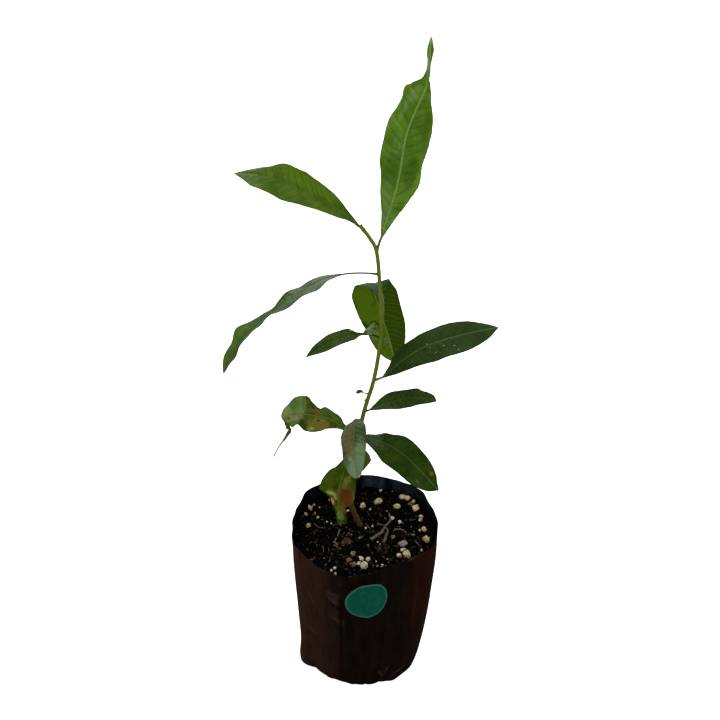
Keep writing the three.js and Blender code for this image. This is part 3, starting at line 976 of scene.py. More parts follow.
def stone_place(x, y, size, number):
    """Where a stone lies, and its three different half widths"""
    turn = Matrix.Rotation(stone_turn * number, 4, "Z") @ Matrix.Rotation(stone_tilt * number, 4, "Y")
    shape = Matrix.Diagonal([size * share for share in stone_shape] + [1])
    return Matrix.Translation((x, y, soil_base(x, y) + size * pumice_lift)) @ turn @ shape


def make_stones(name, places, kind, subdivisions):
    """Stones of one kind, joined into one piece"""
    material = stone_materials[kind]
    return scatter(name, places, "pumice", material, subdivisions, stone_knobs, stone_knob_rate, smooth=True)


for number, (x, y, size) in enumerate(pumice):
    places = [stone_place(x, y, size, number)]
    kind = "white" if number in white_stones else "cream"
    stone = make_stones(f"pumice_stone_{number + 1}", places, kind, 4)
    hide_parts(f"pumice_{number + 1}")
for kind, rows in small_pumice.items():
    places = [stone_place(x, y, size, number) for number, (x, y, size) in enumerate(rows)]
    make_stones(f"small_{kind}_pumice", places, kind, 3)
white_grit = grain_places(grit_count, 0.3, 1.2, 0.8, grain_dice, sunk=0.1)
scatter("white_grit", white_grit, "pumice", stone_materials["white"])

# Stem
# One thin woody stem, brown and barky at its foot and green above, that leans and bows to the right.
# A shed leaf left a scar at each node, and each leaf that is left grows from a swollen node.
stem_points = [
    stem_foot, Vector((-9, 16, 212)), Vector((-10, 16, 246)), Vector((-5, 15, 282)), Vector((4, 14, 332)),
    Vector((13, 13, 370)), Vector((18, 12, 415)), Vector((16.5, 12, 462)), Vector((13.5, 11.5, 493)),
    Vector((8, 11, 505)), Vector((2.5, 10.5, 513)),
]
stem_tip_radius = 1.6
stem_taper = 1.15
taper_power = 1.6
flare_radius = 0.9
flare_height = 6
stem_sides = 28
stem_steps = 30
stem_sunk = 3
scar_heights = [196, 209, 224, 238, 251, 264, 276, 344, 359, 389, 404, 437, 452, 485]
scar_turn = 137
scar_ridge = 0.26
scar_ridge_width = 1.8
scar_groove = 0.16
scar_groove_width = 1.3
scar_groove_above = 2.6
bark_top = 505
bark_relief = 0.30
fine_bark_relief = 0.16
bark_brown_dark = rgb(0.034, 0.018, 0.005)
bark_brown_light = rgb(0.118, 0.068, 0.018)
bark_green_dark = rgb(0.066, 0.100, 0.002)
bark_green_light = rgb(0.140, 0.190, 0.012)
bark_speck = rgb(0.20, 0.17, 0.09)

stem_route = smooth_route(stem_points, stem_steps)
stem_lengths = [0]
for start, end in zip(stem_route, stem_route[1:]):
    stem_lengths.append(stem_lengths[-1] + (end - start).length)


def stem_radius(step):
    """Half width of the stem, with its true taper and the flare at its foot"""
    along = stem_lengths[step] / stem_lengths[-1]
    above = stem_route[step].z - soil_level
    flare = flare_radius * math.exp(-above / flare_height)
    return stem_tip_radius + stem_taper * (1 - along) ** taper_power + flare


def stem_at(height):
    return min(stem_route, key=lambda place: abs(place.z - height))


def bark_surface(tree):
    """Bark that turns from corky brown to smooth green with height"""
    place = object_place(tree)
    height = add_node(tree, "SeparateXYZ", {"Vector": place}).outputs["Z"]
    ragged = maths(tree, "MULTIPLY_ADD", noisy(tree, place, 9, 4), 0.07)
    tree.links.new(height, ragged.node.inputs[2])
    streaks = noisy(tree, stretched(tree, place, (1, 1, 0.22)), 1.1, 4, 0.65)
    corky_brown = mixed(tree, streaks, bark_brown_dark, bark_brown_light)
    smooth_green = mixed(tree, streaks, bark_green_dark, bark_green_light)
    colour = mixed(tree, mask(tree, ragged, 0.225, 0.300), corky_brown, smooth_green)
    specks = mask(tree, noisy(tree, place, 0.8, 2), 0.68, 0.74, 0, 0.6)
    colour = mixed(tree, specks, colour, bark_speck)
    corky = mask(tree, ragged, 0.23, 0.34, 0.9, 0.25)
    return {
        "Base Color": colour,
        "Roughness": mask(tree, ragged, 0.23, 0.34, 0.9, 0.5),
        "Height": maths(tree, "MULTIPLY", streaks, corky),
    }


bark = make_material("bark", bark_surface, Specular_IOR_Level=0.15)
stem_form = bmesh.new()
foot_step = stem_foot - Vector((0, 0, stem_sunk))
add_tube(
    stem_form,
    [foot_step] + stem_route,
    [stem_radius(0) * 1.1] + [stem_radius(step) for step in range(len(stem_route))],
    stem_sides,
)
for corner in stem_form.verts:
    middle = stem_at(corner.co.z)
    outwards = Vector((corner.co.x - middle.x, corner.co.y - middle.y, 0))
    if outwards.length < 0.3 or corner.co.z > bark_top:
        continue
    corky = 1 - 0.85 * smoothstep(corner.co.z, 220, 300)
    turn = outwards.normalized() * 2
    relief = bark_relief * corky * noise.noise(Vector((turn.x, turn.y, corner.co.z / 9)))
    relief += fine_bark_relief * corky * noise.noise(Vector((turn.x * 2, turn.y * 2, corner.co.z / 2.5)))
    for number, scar in enumerate(scar_heights):
        facing = clamped(outwards.normalized().dot(direction(scar_turn * number)) * 1.4)
        facing *= 1 - 0.7 * smoothstep(corner.co.z, 300, 400)
        above_scar = corner.co.z - scar
        relief += scar_ridge * facing * math.exp(-(above_scar / scar_ridge_width) ** 2)
        above_groove = above_scar - scar_groove_above
        relief -= scar_groove * facing * math.exp(-(above_groove / scar_groove_width) ** 2)
    corner.co += outwards.normalized() * relief
bmesh.ops.recalc_face_normals(stem_form, faces=stem_form.faces)
stem = piece_from("woody_stem", stem_form, "bark", bark)
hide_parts("stem")

# Leaves
# Long leathery leaves, each a thin blade folded a little along a pale rib and quilted between its side veins.
# They grow from the stem on short stalks, and the lowest ones are old, spotted and curled.
blade_thickness = 0.4
blade_rows_gap = 0.9
blade_columns = 36
rib_sides = 8
rib_step = 1.5
vein_stray = 0.5
vein_slant = 0.42
vein_curl = 0.011
leaf_walk_step = 0.5
rib_groove = 0.3
rib_groove_width = 1.1
edge_wave = 0.5
edge_wave_length = 11
blade_swell = 0.45
blade_swell_length = 16
ragged_edge = 0.25
ragged_edge_length = 3.2
rib_reach = 0.97
rib_tip_share = 0.3
rib_below_blade = 0.12
stalk_swelling = 0.8
stalk_swelling_length = 3

# Colours of the marks on the leaves: spots of age, a fuller green, painted sheens,
# painted light that shines through the blade, and painted shade in folds
ochre = (0.118, 0.099, 0.006)
brown = (0.105, 0.066, 0.009)
rust = (0.090, 0.027, 0.003)
dark_rust = (0.034, 0.010, 0.002)
olive = (0.057, 0.058, 0.001)
mauve = (0.098, 0.068, 0.020)
straw = (0.200, 0.165, 0.060)
# A pale grey-green, and on the far lobe of the lower left leaf a painted sheen
sage_and_sheen = (0.130, 0.185, 0.058)
# Painted sheen on the front leaf
blue_sage_sheen = (0.105, 0.165, 0.078)
# Painted sheen on the top leaf, and painted light on the folds of the crumpled leaf
painted_sheen_green = (0.130, 0.232, 0.058)
# Painted light that shines through the left half of the back folded leaf
lit_green = (0.074, 0.142, 0.001)
halo = (0.105, 0.110, 0.018)
rosy_grey = (0.215, 0.215, 0.150)
# Painted sheen near the base of the lower right leaf's blade
grey_green_sheen = (0.042, 0.062, 0.020)
# Painted shade
shade = (0.018, 0.034, 0.005)
lush = (0.060, 0.125, 0.016)
pale_green = (0.200, 0.270, 0.080)
orange = (0.480, 0.200, 0.070)
speck = (0.300, 0.290, 0.100)
# A fuller green, which on the upper left leaf is painted light that shines through the blade
fresh_and_lit_green = (0.068, 0.135, 0.002)
# Painted shade: a deeper green where the top leaf catches no sheen
shaded_deep_green = (0.038, 0.096, 0.001)
# Painted shade in the folds and hollows of the blades
valley_shade = (0.018, 0.040, 0.001)
# Painted sheens
soft_sheen = (0.115, 0.185, 0.060)
pale_sheen = (0.160, 0.205, 0.130)
lime = (0.160, 0.205, 0.022)
dead_brown = (0.110, 0.085, 0.050)

# Each leaf's bends are rows of distance along it, bearing (0 is +X, 90 is away), slope above level, and turn
# about its rib. Its margin has rows of distance, half width left and right, and lift of either edge.
# Most of these rows came from a least-squares fit, by a separate script, to outlines picked by eye in the
# photograph. They were then rounded, and some were changed or added one by one.
# The marks are given as rows of colour, distance, place across (left is below zero), half length,
# half width and strength. The pitch is the distance between side veins.
leaves = {
    "leaf_top": {
        "height": 494, "fold": 10, "stalk_radius": 1.1, "pitch": 7.0, "slot": "leaf",
        "bends": [
            (0, 8, 73, 15), (40, 21, 72, 34), (80, 42, 82, 36), (105, 14, 67, 31), (125, 12, 64, 28),
            (138, 55, 86, 20), (162, 53, 87, 15),
        ],
        "margin": [
            (11, 0.7, 0.7, 0, 0), (20, 3.5, 5, 0, 0), (32, 7, 8, 0, -1), (48, 12.5, 14, 0, -1),
            (62, 15, 18.5, -1, 0), (72, 17.5, 16.5, -2, -3), (80, 17, 18, 0, 0), (92, 15, 21, 4, -0.5),
            (104, 18, 22.5, -1, -2), (114, 18, 20.5, -3, 0), (124, 16, 13, 2, 2), (130, 13, 5.5, -2, 2),
            (137, 3.8, 1.5, 0, 2), (145, 1.3, 1.5, 0, 0), (155, 2.5, 3, -1, 1), (164, 0.4, 0.4, 0, 0),
        ],
        "marks": [
            (painted_sheen_green, 30, 0, 18, 8, 0.45), (painted_sheen_green, 50, -7, 12, 5, 0.4), (painted_sheen_green, 86, -5, 11, 5, 0.4),
            (painted_sheen_green, 98, 6, 10, 4, 0.3), (painted_sheen_green, 113, -10, 14, 4, 0.45), (painted_sheen_green, 124, -6, 8, 4, 0.5),
            (painted_sheen_green, 54, 8, 10, 4, 0.3), (shaded_deep_green, 68, -7, 13, 7, 0.45), (shaded_deep_green, 68, 9, 16, 7, 0.6),
            (shaded_deep_green, 102, 16, 20, 5, 0.4), (shaded_deep_green, 78, 0, 8, 5, 0.35),
        ],
    },
    "leaf_upper_left": {
        "height": 514, "fold": 5, "stalk_radius": 1.1, "pitch": 6.5, "slot": "leaf_young",
        "bends": [
            (0, 218, 50, -22), (39, 199, 32, -22), (78, 175, 24, -26), (100, 163, 3, -17),
            (118, 157, -11, -8),
        ],
        "margin": [
            (3, 0.7, 0.7, 0, 0), (8, 2.5, 2.5, 0, 0), (15, 7, 6, 0, 0), (25, 11.5, 12.5, 0.5, 0),
            (38, 15, 16, 0.5, 1), (52, 16, 19, 1, 0), (62, 17, 19, 1, 0.5), (72, 18, 17, 0, 1.5),
            (82, 16, 16.5, -1, 1), (94, 16, 10.5, 0, -0.5), (106, 9, 7.5, -1, -1.5), (118, 0.4, 0.4, 0, 0),
        ],
        "marks": [
            (soft_sheen, 98, -2, 16, 8, 0.2), (soft_sheen, 66, -10, 18, 4, 0.25), (fresh_and_lit_green, 55, 10, 38, 9, 0.6),
        ],
    },
    "leaf_left_drooping": {
        "height": 473, "fold": 5, "stalk_radius": 0.8, "pitch": 6.5, "slot": "leaf",
        "bends": [
            (0, 178, 8, 0), (35, 182, -10, 0), (60, 187, -33, 0), (115, 187, -38, 8), (173, 205, -68, -8),
        ],
        "margin": [
            (30, 0.6, 0.6, 0, 0), (42, 7, 5, 0, -0.5), (54, 13.5, 10, -2, -1.5),
            (68, 13.5, 11.5, 0.5, -1.5), (82, 15, 12.5, -1, 2), (92, 14, 14, 0.5, -0.5),
            (100, 12.5, 13, 2, -2), (112, 14, 13, -0.5, -0.5), (124, 14.5, 14.5, 0.5, 0),
            (136, 14.5, 15, 1.5, 3.5), (148, 13, 11, 0, 0), (160, 7.5, 8.5, 0.5, 0.5),
            (173, 0.4, 0.4, 0, 0),
        ],
        "marks": [
            (pale_sheen, 72, -2, 24, 9, 0.35), (pale_sheen, 104, -4, 12, 6, 0.35),
            (fresh_and_lit_green, 164, -2, 14, 10, 0.6), (fresh_and_lit_green, 140, 9, 16, 7, 0.5), (valley_shade, 88, 9, 10, 4, 0.4),
            (valley_shade, 116, 8, 9, 5, 0.4),
        ],
    },
    "leaf_back_folded": {
        "height": 424, "fold": 5, "stalk_radius": 0.7, "pitch": 5.8, "slot": "leaf_young",
        "bends": [
            (0, 60, 15, 0), (6, 70, 78, 0), (24, 105, 62, 0), (34, 113, 20, 0), (48, 105, -25, 0),
            (60, 85, -60, -10), (80, 50, -68, -40), (105, 30, -72, -60), (130, 5, -75, -80),
            (154, -20, -76, -100),
        ],
        "margin": [
            (24, 0.7, 0.7, 0, 0), (30, 6.5, 4, 1, 1), (38, 10, 9, 0.5, 3), (46, 15.5, 12, -2, 1),
            (60, 18, 17, -1, -0.5), (76, 22, 20.5, 1, 0), (94, 21.5, 20, -0.5, 0), (112, 19.5, 19.5, 0, 0),
            (128, 17.5, 16.5, -2, -0.5), (138, 14.5, 13, -2, -2), (147, 9.5, 8, -2, -2),
            (154, 0.4, 0.4, -2, -2),
        ],
        "marks": [
            (valley_shade, 41, 11, 13, 9, 1), (valley_shade, 30, 4.5, 7, 4, 1), (lit_green, 72, -11, 20, 11, 0.8),
            (lit_green, 92, -13, 16, 8, 0.7), (soft_sheen, 118, -12, 12, 7, 0.6),
            (soft_sheen, 132, -3, 9, 5, 0.4), (valley_shade, 106, -9, 3, 5, 0.5),
        ],
    },
    "leaf_crumpled": {
        "height": 420, "fold": 20, "stalk_radius": 0.7, "pitch": 4.0, "slot": "leaf_pale",
        "bends": [(0, 195, 18, -42), (10, 190, -12, -52), (17, 186, -50, -50)],
        "margin": [
            (2, 2.2, 5.5, 0, 0), (6, 3.4, 6.2, 1, 1.5), (10, 3.6, 3.8, -1, -1), (13, 3, 2.6, 1, 1),
            (17, 0.5, 0.5, 0, 0),
        ],
        "marks": [
            (rosy_grey, 12, 3.5, 4, 2.5, 0.8), (sage_and_sheen, 8, 5, 3, 4, 0.6), (valley_shade, 3, 6, 2.4, 1.8, 0.9),
            (valley_shade, 6, 1.5, 2.6, 0.9, 0.7), (painted_sheen_green, 9, 1, 3, 1.2, 0.5),
        ],
    },
    "leaf_small_left": {
        "height": 412, "fold": 5, "stalk_radius": 0.7, "pitch": 4.6, "slot": "leaf",
        "bends": [(0, 200, 38, -14), (25, 203, 6, -6), (49, 200, -17, -5), (74, 195, -40, -8)],
        "margin": [
            (10, 0.6, 0.7, 0, 0), (16, 1.6, 1.6, 0, -0.5), (23, 4.3, 3.2, 0.5, -1), (29, 8, 7.8, 0, 0),
            (37, 10.5, 9.2, 0.5, -0.5), (47, 11, 9, 0, -0.5), (57, 9, 7.5, -1, -1), (66, 5, 5, -0.5, -1),
            (74, 0.4, 0.4, 0, 0),
        ],
        "marks": [
            (orange, 28, 5.2, 1.2, 1.2, 0.8),
        ],
    },
    "leaf_right_large": {
        "height": 367, "fold": 5, "stalk_radius": 1.1, "pitch": 6.5, "slot": "leaf",
        "bends": [
            (0, -20, 20, 34), (14, -20, 54, 32), (42, -18, 46, 28), (85, -12, 25, 26), (129, 8, 6, 24),
        ],
        "margin": [
            (9, 0.7, 0.9, 0, 0), (18, 5.4, 5, -1, 0), (30, 11, 10.5, 0, 0), (45, 14.5, 15.5, -0.5, 0),
            (60, 15, 18, -0.5, -0.5), (75, 15.5, 19.5, -1, -1.5), (90, 15, 19.5, -1, 0),
            (105, 12, 16, -1, -1), (118, 7, 10, -1, -1), (129, 0.4, 0.5, 0, 0),
        ],
        "marks": [
            (speck, distance, across, 0.8, 0.8, 0.8)
            for distance, across in [
                (66, -1.5), (69, 2.9), (82, 6.8), (91, 9.7), (94, 15.3), (74, 10.7), (50, 9),
            ]
        ],
    },
    "leaf_right_small": {
        "height": 331, "fold": 5, "stalk_radius": 0.8, "pitch": 5.5, "slot": "leaf",
        "bends": [(0, -14, 37, 16), (24, -10, 29, 20), (49, -10, 14, 18), (73, -15, -13, 15)],
        "margin": [
            (6, 0.6, 0.6, 0, 0), (12, 4.5, 4, -0.5, 1.5), (20, 8, 6.5, 0, 1), (30, 10.5, 9.5, 0, 0.5),
            (40, 10.5, 11.5, -1, 0), (48, 10, 11.5, -0.5, 0), (54, 11, 10, -1, 0), (58, 9, 8.5, -1, 0),
            (64, 6.5, 7, 0.5, 0.5), (69, 5, 4, 0, 0), (73, 0.4, 0.4, 0, 0),
        ],
        "marks": [],
    },
    "leaf_front": {
        "height": 320, "fold": 12, "stalk_radius": 0.8, "pitch": 5.0, "slot": "leaf_pale",
        "bends": [(0, 236, 66, 0), (25, 264, -20, 14), (51, 273, -21, 22), (76, 289, -37, 26)],
        "margin": [
            (4, 0.7, 0.8, 0, 0), (9, 2.2, 3, 0.5, -1), (16, 5.4, 5, 0, -2.5), (26, 11.5, 9, -0.5, 0),
            (38, 13, 10.5, -1, 3.5), (50, 12.5, 10.8, -1.5, -1.5), (60, 10.5, 10, -0.5, -0.5),
            (68, 7.5, 8, 0, -0.5), (74, 3.6, 5, 0, 0), (76, 1.5, 2.5, 0, 0),
        ],
        "marks": [
            (blue_sage_sheen, 68, -3, 11, 12, 0.85), (blue_sage_sheen, 54, -5, 10, 9, 0.55),
            (blue_sage_sheen, 44, -7, 10, 6, 0.4), (blue_sage_sheen, 30, 9.5, 22, 2.5, 0.4),
            (mauve, 27, 3, 5, 2.4, 0.8), (mauve, 35, 4.6, 6, 3, 1), (mauve, 45, 5, 6.5, 3, 1),
            (mauve, 54, 3.8, 5, 2.4, 0.9), (rosy_grey, 57, 4, 3, 2, 0.4),
            (orange, 74.5, -1.5, 1.3, 1.6, 0.9), (ochre, 73, -2.6, 2, 1.3, 0.8),
        ],
    },
    "leaf_lower_left": {
        "height": 308, "fold": 5, "stalk_radius": 0.8, "pitch": 6.0, "slot": "leaf_spotted",
        "bends": [
            (0, 203, 10, 0), (13, 190, 32, -2), (26, 173, 40, -4), (39, 184, 15, -10), (54, 184, 15, -18),
            (65, 187, 7, -20), (73, 198, -15, -15), (79, 200, -75, -8), (84, 185, -115, 0),
            (89, 176, -145, 0), (92, 190, -110, 0), (95, 212, -45, 0), (106, 214, -42, 0),
            (124, 228, -55, 0),
        ],
        "margin": [
            (8, 0.6, 0.6, 0, 0), (14, 3.5, 8, -1, -2), (22, 7, 9, 0.5, 0.5), (30, 12, 10, -0.5, 0),
            (38, 15.5, 15, -1.5, -2), (43, 18, 9.5, -2, 0), (50, 19.5, 13.5, -2, 0), (57, 19, 19, -1, 1.5),
            (65, 13.5, 18.5, 1, -0.5), (70, 14.5, 14, -1, -3), (76, 15, 9, -2, -1.5), (82, 8, 5, -4, 1),
            (88, 4.5, 3, 0, 0), (92, 3, 2.6, 0, 0), (98, 2.4, 2.2, 0.5, 0.5), (104, 2, 1.8, 0, 0),
            (109, 0.9, 0.9, 0, 0), (114, 0.55, 0.55, 0, 0), (124, 0.45, 0.45, 0, 0),
        ],
        "marks": [
            (sage_and_sheen, 62, 8, 6, 14, 0.8), (sage_and_sheen, 74, 6, 8, 12, 0.85), (sage_and_sheen, 68, -6, 11, 3.5, 0.75),
            (straw, 76, 4, 4, 7, 0.6), (lush, 67, 11, 3.4, 10, 1), (lush, 59, 12, 2, 9, 0.8),
            (lush, 63, 11, 1.4, 9, 0.6), (lush, 74, 14, 1.6, 5, 0.7), (halo, 26, 4, 9, 3, 0.5),
            (lush, 72, -12, 9, 4, 0.9), (lush, 84, 1, 4, 3, 0.7), (valley_shade, 58, -15, 6, 7, 1),
            (valley_shade, 60, -9, 3, 4, 0.9), (lush, 53, -17, 2.6, 4, 0.9), (straw, 42, -5, 6, 2.5, 0.5),
            (ochre, 43.5, -10, 12, 7.5, 1), (speck, 50, -16, 3, 2, 0.5), (brown, 51, -6, 1.6, 3, 0.9),
            (brown, 41, -11, 3.5, 1, 0.9), (brown, 47, -12, 1, 3, 0.8), (brown, 37, -8, 1, 2.5, 0.7),
            (dark_rust, 44, -5.4, 1.7, 1.3, 1), (brown, 40, -8, 1.2, 1.2, 0.8),
            (olive, 35, -2, 7, 2.5, 0.6), (mauve, 46, 8, 4, 4, 0.5), (brown, 44, 3.9, 4.2, 2.4, 1),
            (brown, 52, 4.5, 3.8, 2.4, 1), (brown, 56, 13, 1.8, 2, 0.6), (straw, 74, -5, 5, 3, 0.6),
            (straw, 66, -4, 3, 2, 0.5), (rust, 74, -4, 1.8, 2.4, 0.9), (rust, 67.5, -4.2, 0.9, 1.4, 0.7),
            (rust, 70.5, -4.4, 0.8, 1.5, 0.6), (rust, 62.5, -3.6, 0.9, 1.2, 0.7),
            (rust, 60, -3.2, 0.9, 1, 0.7), (rust, 77, -1.5, 1.2, 1, 0.7), (dead_brown, 116, 0, 14, 3, 1),
        ],
    },
    "leaf_lower_right": {
        "height": 301, "fold": 7, "stalk_radius": 1.0, "pitch": 6.5, "slot": "leaf",
        "bends": [(0, -25, 15, 4), (33, -38, -2, 19), (65, -47, -18, 28), (98, -44, -27, 33)],
        "margin": [
            (5, 0.8, 0.7, 0, 0), (9, 4.4, 4.4, -0.5, -1), (13, 5.4, 6.5, -1, -3), (18, 7.6, 10, -1.5, 0),
            (24, 10.6, 12.6, -1, 0), (29, 11.2, 14.5, -1, 0.5), (42, 16, 18.5, -2, -1),
            (58, 14.2, 17, 0, -3), (74, 12.3, 16, -0.5, 0.5), (86, 8, 12, 0.5, 0), (93, 3.2, 7.5, 1, 0),
            (98, 0.4, 0.5, 0, 0),
        ],
        "marks": [
            (grey_green_sheen, 15, 0, 13, 10, 0.6), (grey_green_sheen, 26, 8, 11, 7, 0.35),
            (mauve, 33, 4.5, 6, 4, 0.25), (mauve, 41, 10, 5, 3, 0.2), (ochre, 83, -5.6, 3.2, 2.4, 0.5),
            (ochre, 80, 9, 3, 2, 0.4),
        ],
    },
    "leaf_lowest": {
        "height": 296, "fold": 4, "stalk_radius": 0.9, "pitch": 6.0, "slot": "leaf_spotted",
        "bends": [
            (0, 260, 4, 25), (36, 239, -34, 28), (60, 248, -79, 0), (71, 232, -97, 0), (107, 262, -107, -8),
        ],
        "margin": [
            (4, 0.7, 1, 0, 0), (10, 7, 8.5, -1, -2.5), (20, 20, 9, -5, -3), (26, 25, 11, -4, -2),
            (33, 24.5, 13.5, -2, -1.5), (42, 24.5, 16, 5.5, 1.5), (52, 18, 20.5, -0.5, -2.5),
            (60, 17, 19.5, 1, -1), (68, 13, 11.5, -1, -0.5), (74, 7.5, 9.5, 0, -1), (82, 7, 3, -0.5, 2),
            (94, 6.5, 4.5, 0.5, 0.5), (104, 5, 4, 0, 0), (107, 2.5, 2, 0, 0),
        ],
        "marks": [
            (lime, 44, -8, 5, 4, 0.4), (olive, 47, 11, 5, 4.5, 1), (olive, 55, 8.5, 5, 3.5, 1),
            (olive, 50, -16, 10, 4.5, 1), (halo, 42, -13, 3.6, 3, 0.8), (halo, 49, -6, 6, 3.4, 0.6),
            (halo, 60, -17, 8, 2, 0.5), (ochre, 62, -6.5, 13, 10, 0.7), (rust, 62, -7.5, 10.5, 9.5, 1),
            (rust, 55, -11, 4, 5, 0.9), (dark_rust, 55, -8, 1, 6, 0.7), (dark_rust, 63, -4, 5, 0.8, 0.5),
            (dark_rust, 66, -10, 1, 4, 0.4), (lime, 62, 8, 3.4, 5.4, 1),
            (pale_green, 62, 6.5, 2.2, 4.4, 0.9), (pale_green, 66, 3, 2.4, 1.6, 1),
            (shade, 64.5, 6, 0.8, 3, 0.6), (orange, 73, 7.2, 5, 2.2, 1), (valley_shade, 55, 3.5, 2, 4.5, 0.9),
            (ochre, 80, -1, 7, 4, 0.8), (mauve, 78, -6, 6, 3, 0.7), (sage_and_sheen, 92, 0, 9, 4, 0.8),
            (valley_shade, 90, -6, 8, 2, 0.9), (ochre, 105.5, 1, 2.4, 6, 0.9),
        ],
    },
}

# Each leaf's looks: greens of its upper side, rib and side veins, its underside, its stalk, its gloss,
# and how quilted it is
plain_leaf = {
    "under": ((0.05, 0.10, 0.02), (0.10, 0.17, 0.05)), "under_vein": (0.17, 0.27, 0.09),
    "under_strength": 0.5, "shaded_side": 0, "vein_strength": 0.45, "rib_width": 0.045, "gloss": 0.1,
    "quilt": 0.3, "stalk_colour": (0.10, 0.15, 0.02),
}
looks = {
    "leaf_top": plain_leaf | {
        "deep": (0.056, 0.135, 0.001), "light": (0.098, 0.200, 0.012), "rib": (0.25, 0.37, 0.12),
        "vein": (0.026, 0.070, 0.001), "gloss": 0.12, "quilt": 0.6, "rib_width": 0.075,
        "vein_strength": 0.45,
    },
    "leaf_upper_left": plain_leaf | {
        "deep": (0.036, 0.080, 0.001), "light": (0.064, 0.122, 0.005), "rib": (0.036, 0.070, 0.004),
        "vein": (0.016, 0.040, 0.001), "vein_strength": 0.48, "gloss": 0.06,
    },
    "leaf_left_drooping": plain_leaf | {
        "deep": (0.042, 0.086, 0.004), "light": (0.074, 0.124, 0.014), "rib": (0.050, 0.080, 0.012),
        "vein": (0.030, 0.055, 0.008), "vein_strength": 0.25, "gloss": 0.3, "quilt": 0.14,
        "stalk_colour": (0.050, 0.065, 0.015),
    },
    # The back folded leaf's upper side is a painted blue-grey sheen, and one half of its underside is painted
    # shade
    "leaf_back_folded": plain_leaf | {
        "deep": (0.030, 0.052, 0.030), "light": (0.070, 0.105, 0.062), "rib": (0.15, 0.22, 0.12),
        "vein": (0.09, 0.13, 0.09), "under": ((0.027, 0.056, 0.0005), (0.080, 0.152, 0.001)),
        "under_vein": (0.130, 0.205, 0.035), "shaded_side": 1, "under_strength": 0.35,
        "stalk_colour": (0.12, 0.19, 0.05), "gloss": 0.05,
    },
    "leaf_crumpled": plain_leaf | {
        "deep": (0.060, 0.110, 0.018), "light": (0.125, 0.185, 0.058), "rib": (0.14, 0.19, 0.08),
        "vein": (0.03, 0.06, 0.01), "quilt": 0.9,
    },
    "leaf_small_left": plain_leaf | {
        "deep": (0.016, 0.038, 0.001), "light": (0.034, 0.066, 0.005), "rib": (0.016, 0.036, 0.003),
        "vein": (0.009, 0.025, 0.001), "vein_strength": 0.55, "gloss": 0.03, "quilt": 0.2,
        "stalk_colour": (0.030, 0.045, 0.006), "under": ((0.020, 0.045, 0.004), (0.045, 0.080, 0.015)),
        "under_vein": (0.06, 0.10, 0.03),
    },
    "leaf_right_large": plain_leaf | {
        "deep": (0.012, 0.032, 0.003), "light": (0.022, 0.046, 0.007), "rib": (0.085, 0.140, 0.050),
        "vein": (0.045, 0.080, 0.030), "vein_strength": 0.28, "rib_width": 0.035, "gloss": 0.08,
        "quilt": 0.13,
    },
    "leaf_right_small": plain_leaf | {
        "deep": (0.015, 0.040, 0.003), "light": (0.030, 0.060, 0.007), "rib": (0.09, 0.15, 0.04),
        "vein": (0.070, 0.115, 0.040), "vein_strength": 0.45, "rib_width": 0.035, "gloss": 0.05,
        "quilt": 0.16, "stalk_colour": (0.060, 0.095, 0.015),
    },
    "leaf_front": plain_leaf | {
        "deep": (0.020, 0.042, 0.008), "light": (0.056, 0.090, 0.026), "rib": (0.060, 0.095, 0.035),
        "vein": (0.15, 0.175, 0.09), "under": ((0.07, 0.11, 0.04), (0.11, 0.16, 0.07)),
        "vein_strength": 0.4, "gloss": 0.12, "quilt": 0.45,
    },
    "leaf_lower_left": plain_leaf | {
        "deep": (0.030, 0.052, 0.002), "light": (0.060, 0.092, 0.006), "rib": (0.10, 0.155, 0.015),
        "vein": (0.11, 0.15, 0.03), "vein_strength": 0.3, "rib_width": 0.06, "gloss": 0.06,
    },
    "leaf_lower_right": plain_leaf | {
        "deep": (0.008, 0.026, 0.0005), "light": (0.020, 0.044, 0.001), "rib": (0.11, 0.17, 0.05),
        "vein": (0.040, 0.072, 0.012), "vein_strength": 0.3, "rib_width": 0.035, "gloss": 0.04,
        "quilt": 0.13, "stalk_colour": (0.07, 0.10, 0.03),
    },
    "leaf_lowest": plain_leaf | {
        "deep": (0.018, 0.042, 0.0005), "light": (0.042, 0.082, 0.001), "rib": (0.08, 0.12, 0.02),
        "vein": (0.03, 0.06, 0.002), "under": ((0.03, 0.07, 0.003), (0.06, 0.12, 0.01)), "rib_width": 0.05,
        "gloss": 0.04, "quilt": 0.4,
    },
}


def curve_through(places, values):
    """A smooth curve through places and values, which never swings past a value"""
    spans = [after - before for before, after in zip(places, places[1:])]
    rises = [(after - before) / span for before, after, span in zip(values, values[1:], spans)]
    slopes = [rises[0]]
    for before, after in zip(rises, rises[1:]):
        slopes.append(0 if before * after <= 0 else 2 * before * after / (before + after))
    slopes.append(rises[-1])

    def value_at(place):
        row = clamped(bisect.bisect_right(places, place) - 1, 0, len(spans) - 1)
        share = clamped((place - places[row]) / spans[row])
        rest = 1 - share
        eased = values[row] * (1 + 2 * share) * rest * rest
        eased += values[row + 1] * (3 - 2 * share) * share * share
        return eased + spans[row] * share * rest * (slopes[row] * rest - slopes[row + 1] * share)

    return value_at


def bend_at(bends, distance):
    """Bearing, slope and turn at a distance along a leaf, read between the rows of its bends"""
    row = 1
    while row < len(bends) - 1 and distance > bends[row][0]:
        row += 1
    before, after = bends[row - 1], bends[row]
    share = clamped((distance - before[0]) / (after[0] - before[0]))
    return [math.radians(lerp(before[item], after[item], share)) for item in (1, 2, 3)]


def leaf_frame(bends, distance):
    """Directions at a distance along a leaf: its run, its right side and its upper face"""
    bearing, slope, turn = bend_at(bends, distance)
    run = Vector((math.cos(bearing) * math.cos(slope), math.sin(bearing) * math.cos(slope), math.sin(slope)))
    level = Vector((math.sin(bearing), -math.cos(bearing), 0))
    upper = level.cross(run)
    right = level * math.cos(turn) - upper * math.sin(turn)
    return run, right, upper * math.cos(turn) + level * math.sin(turn)


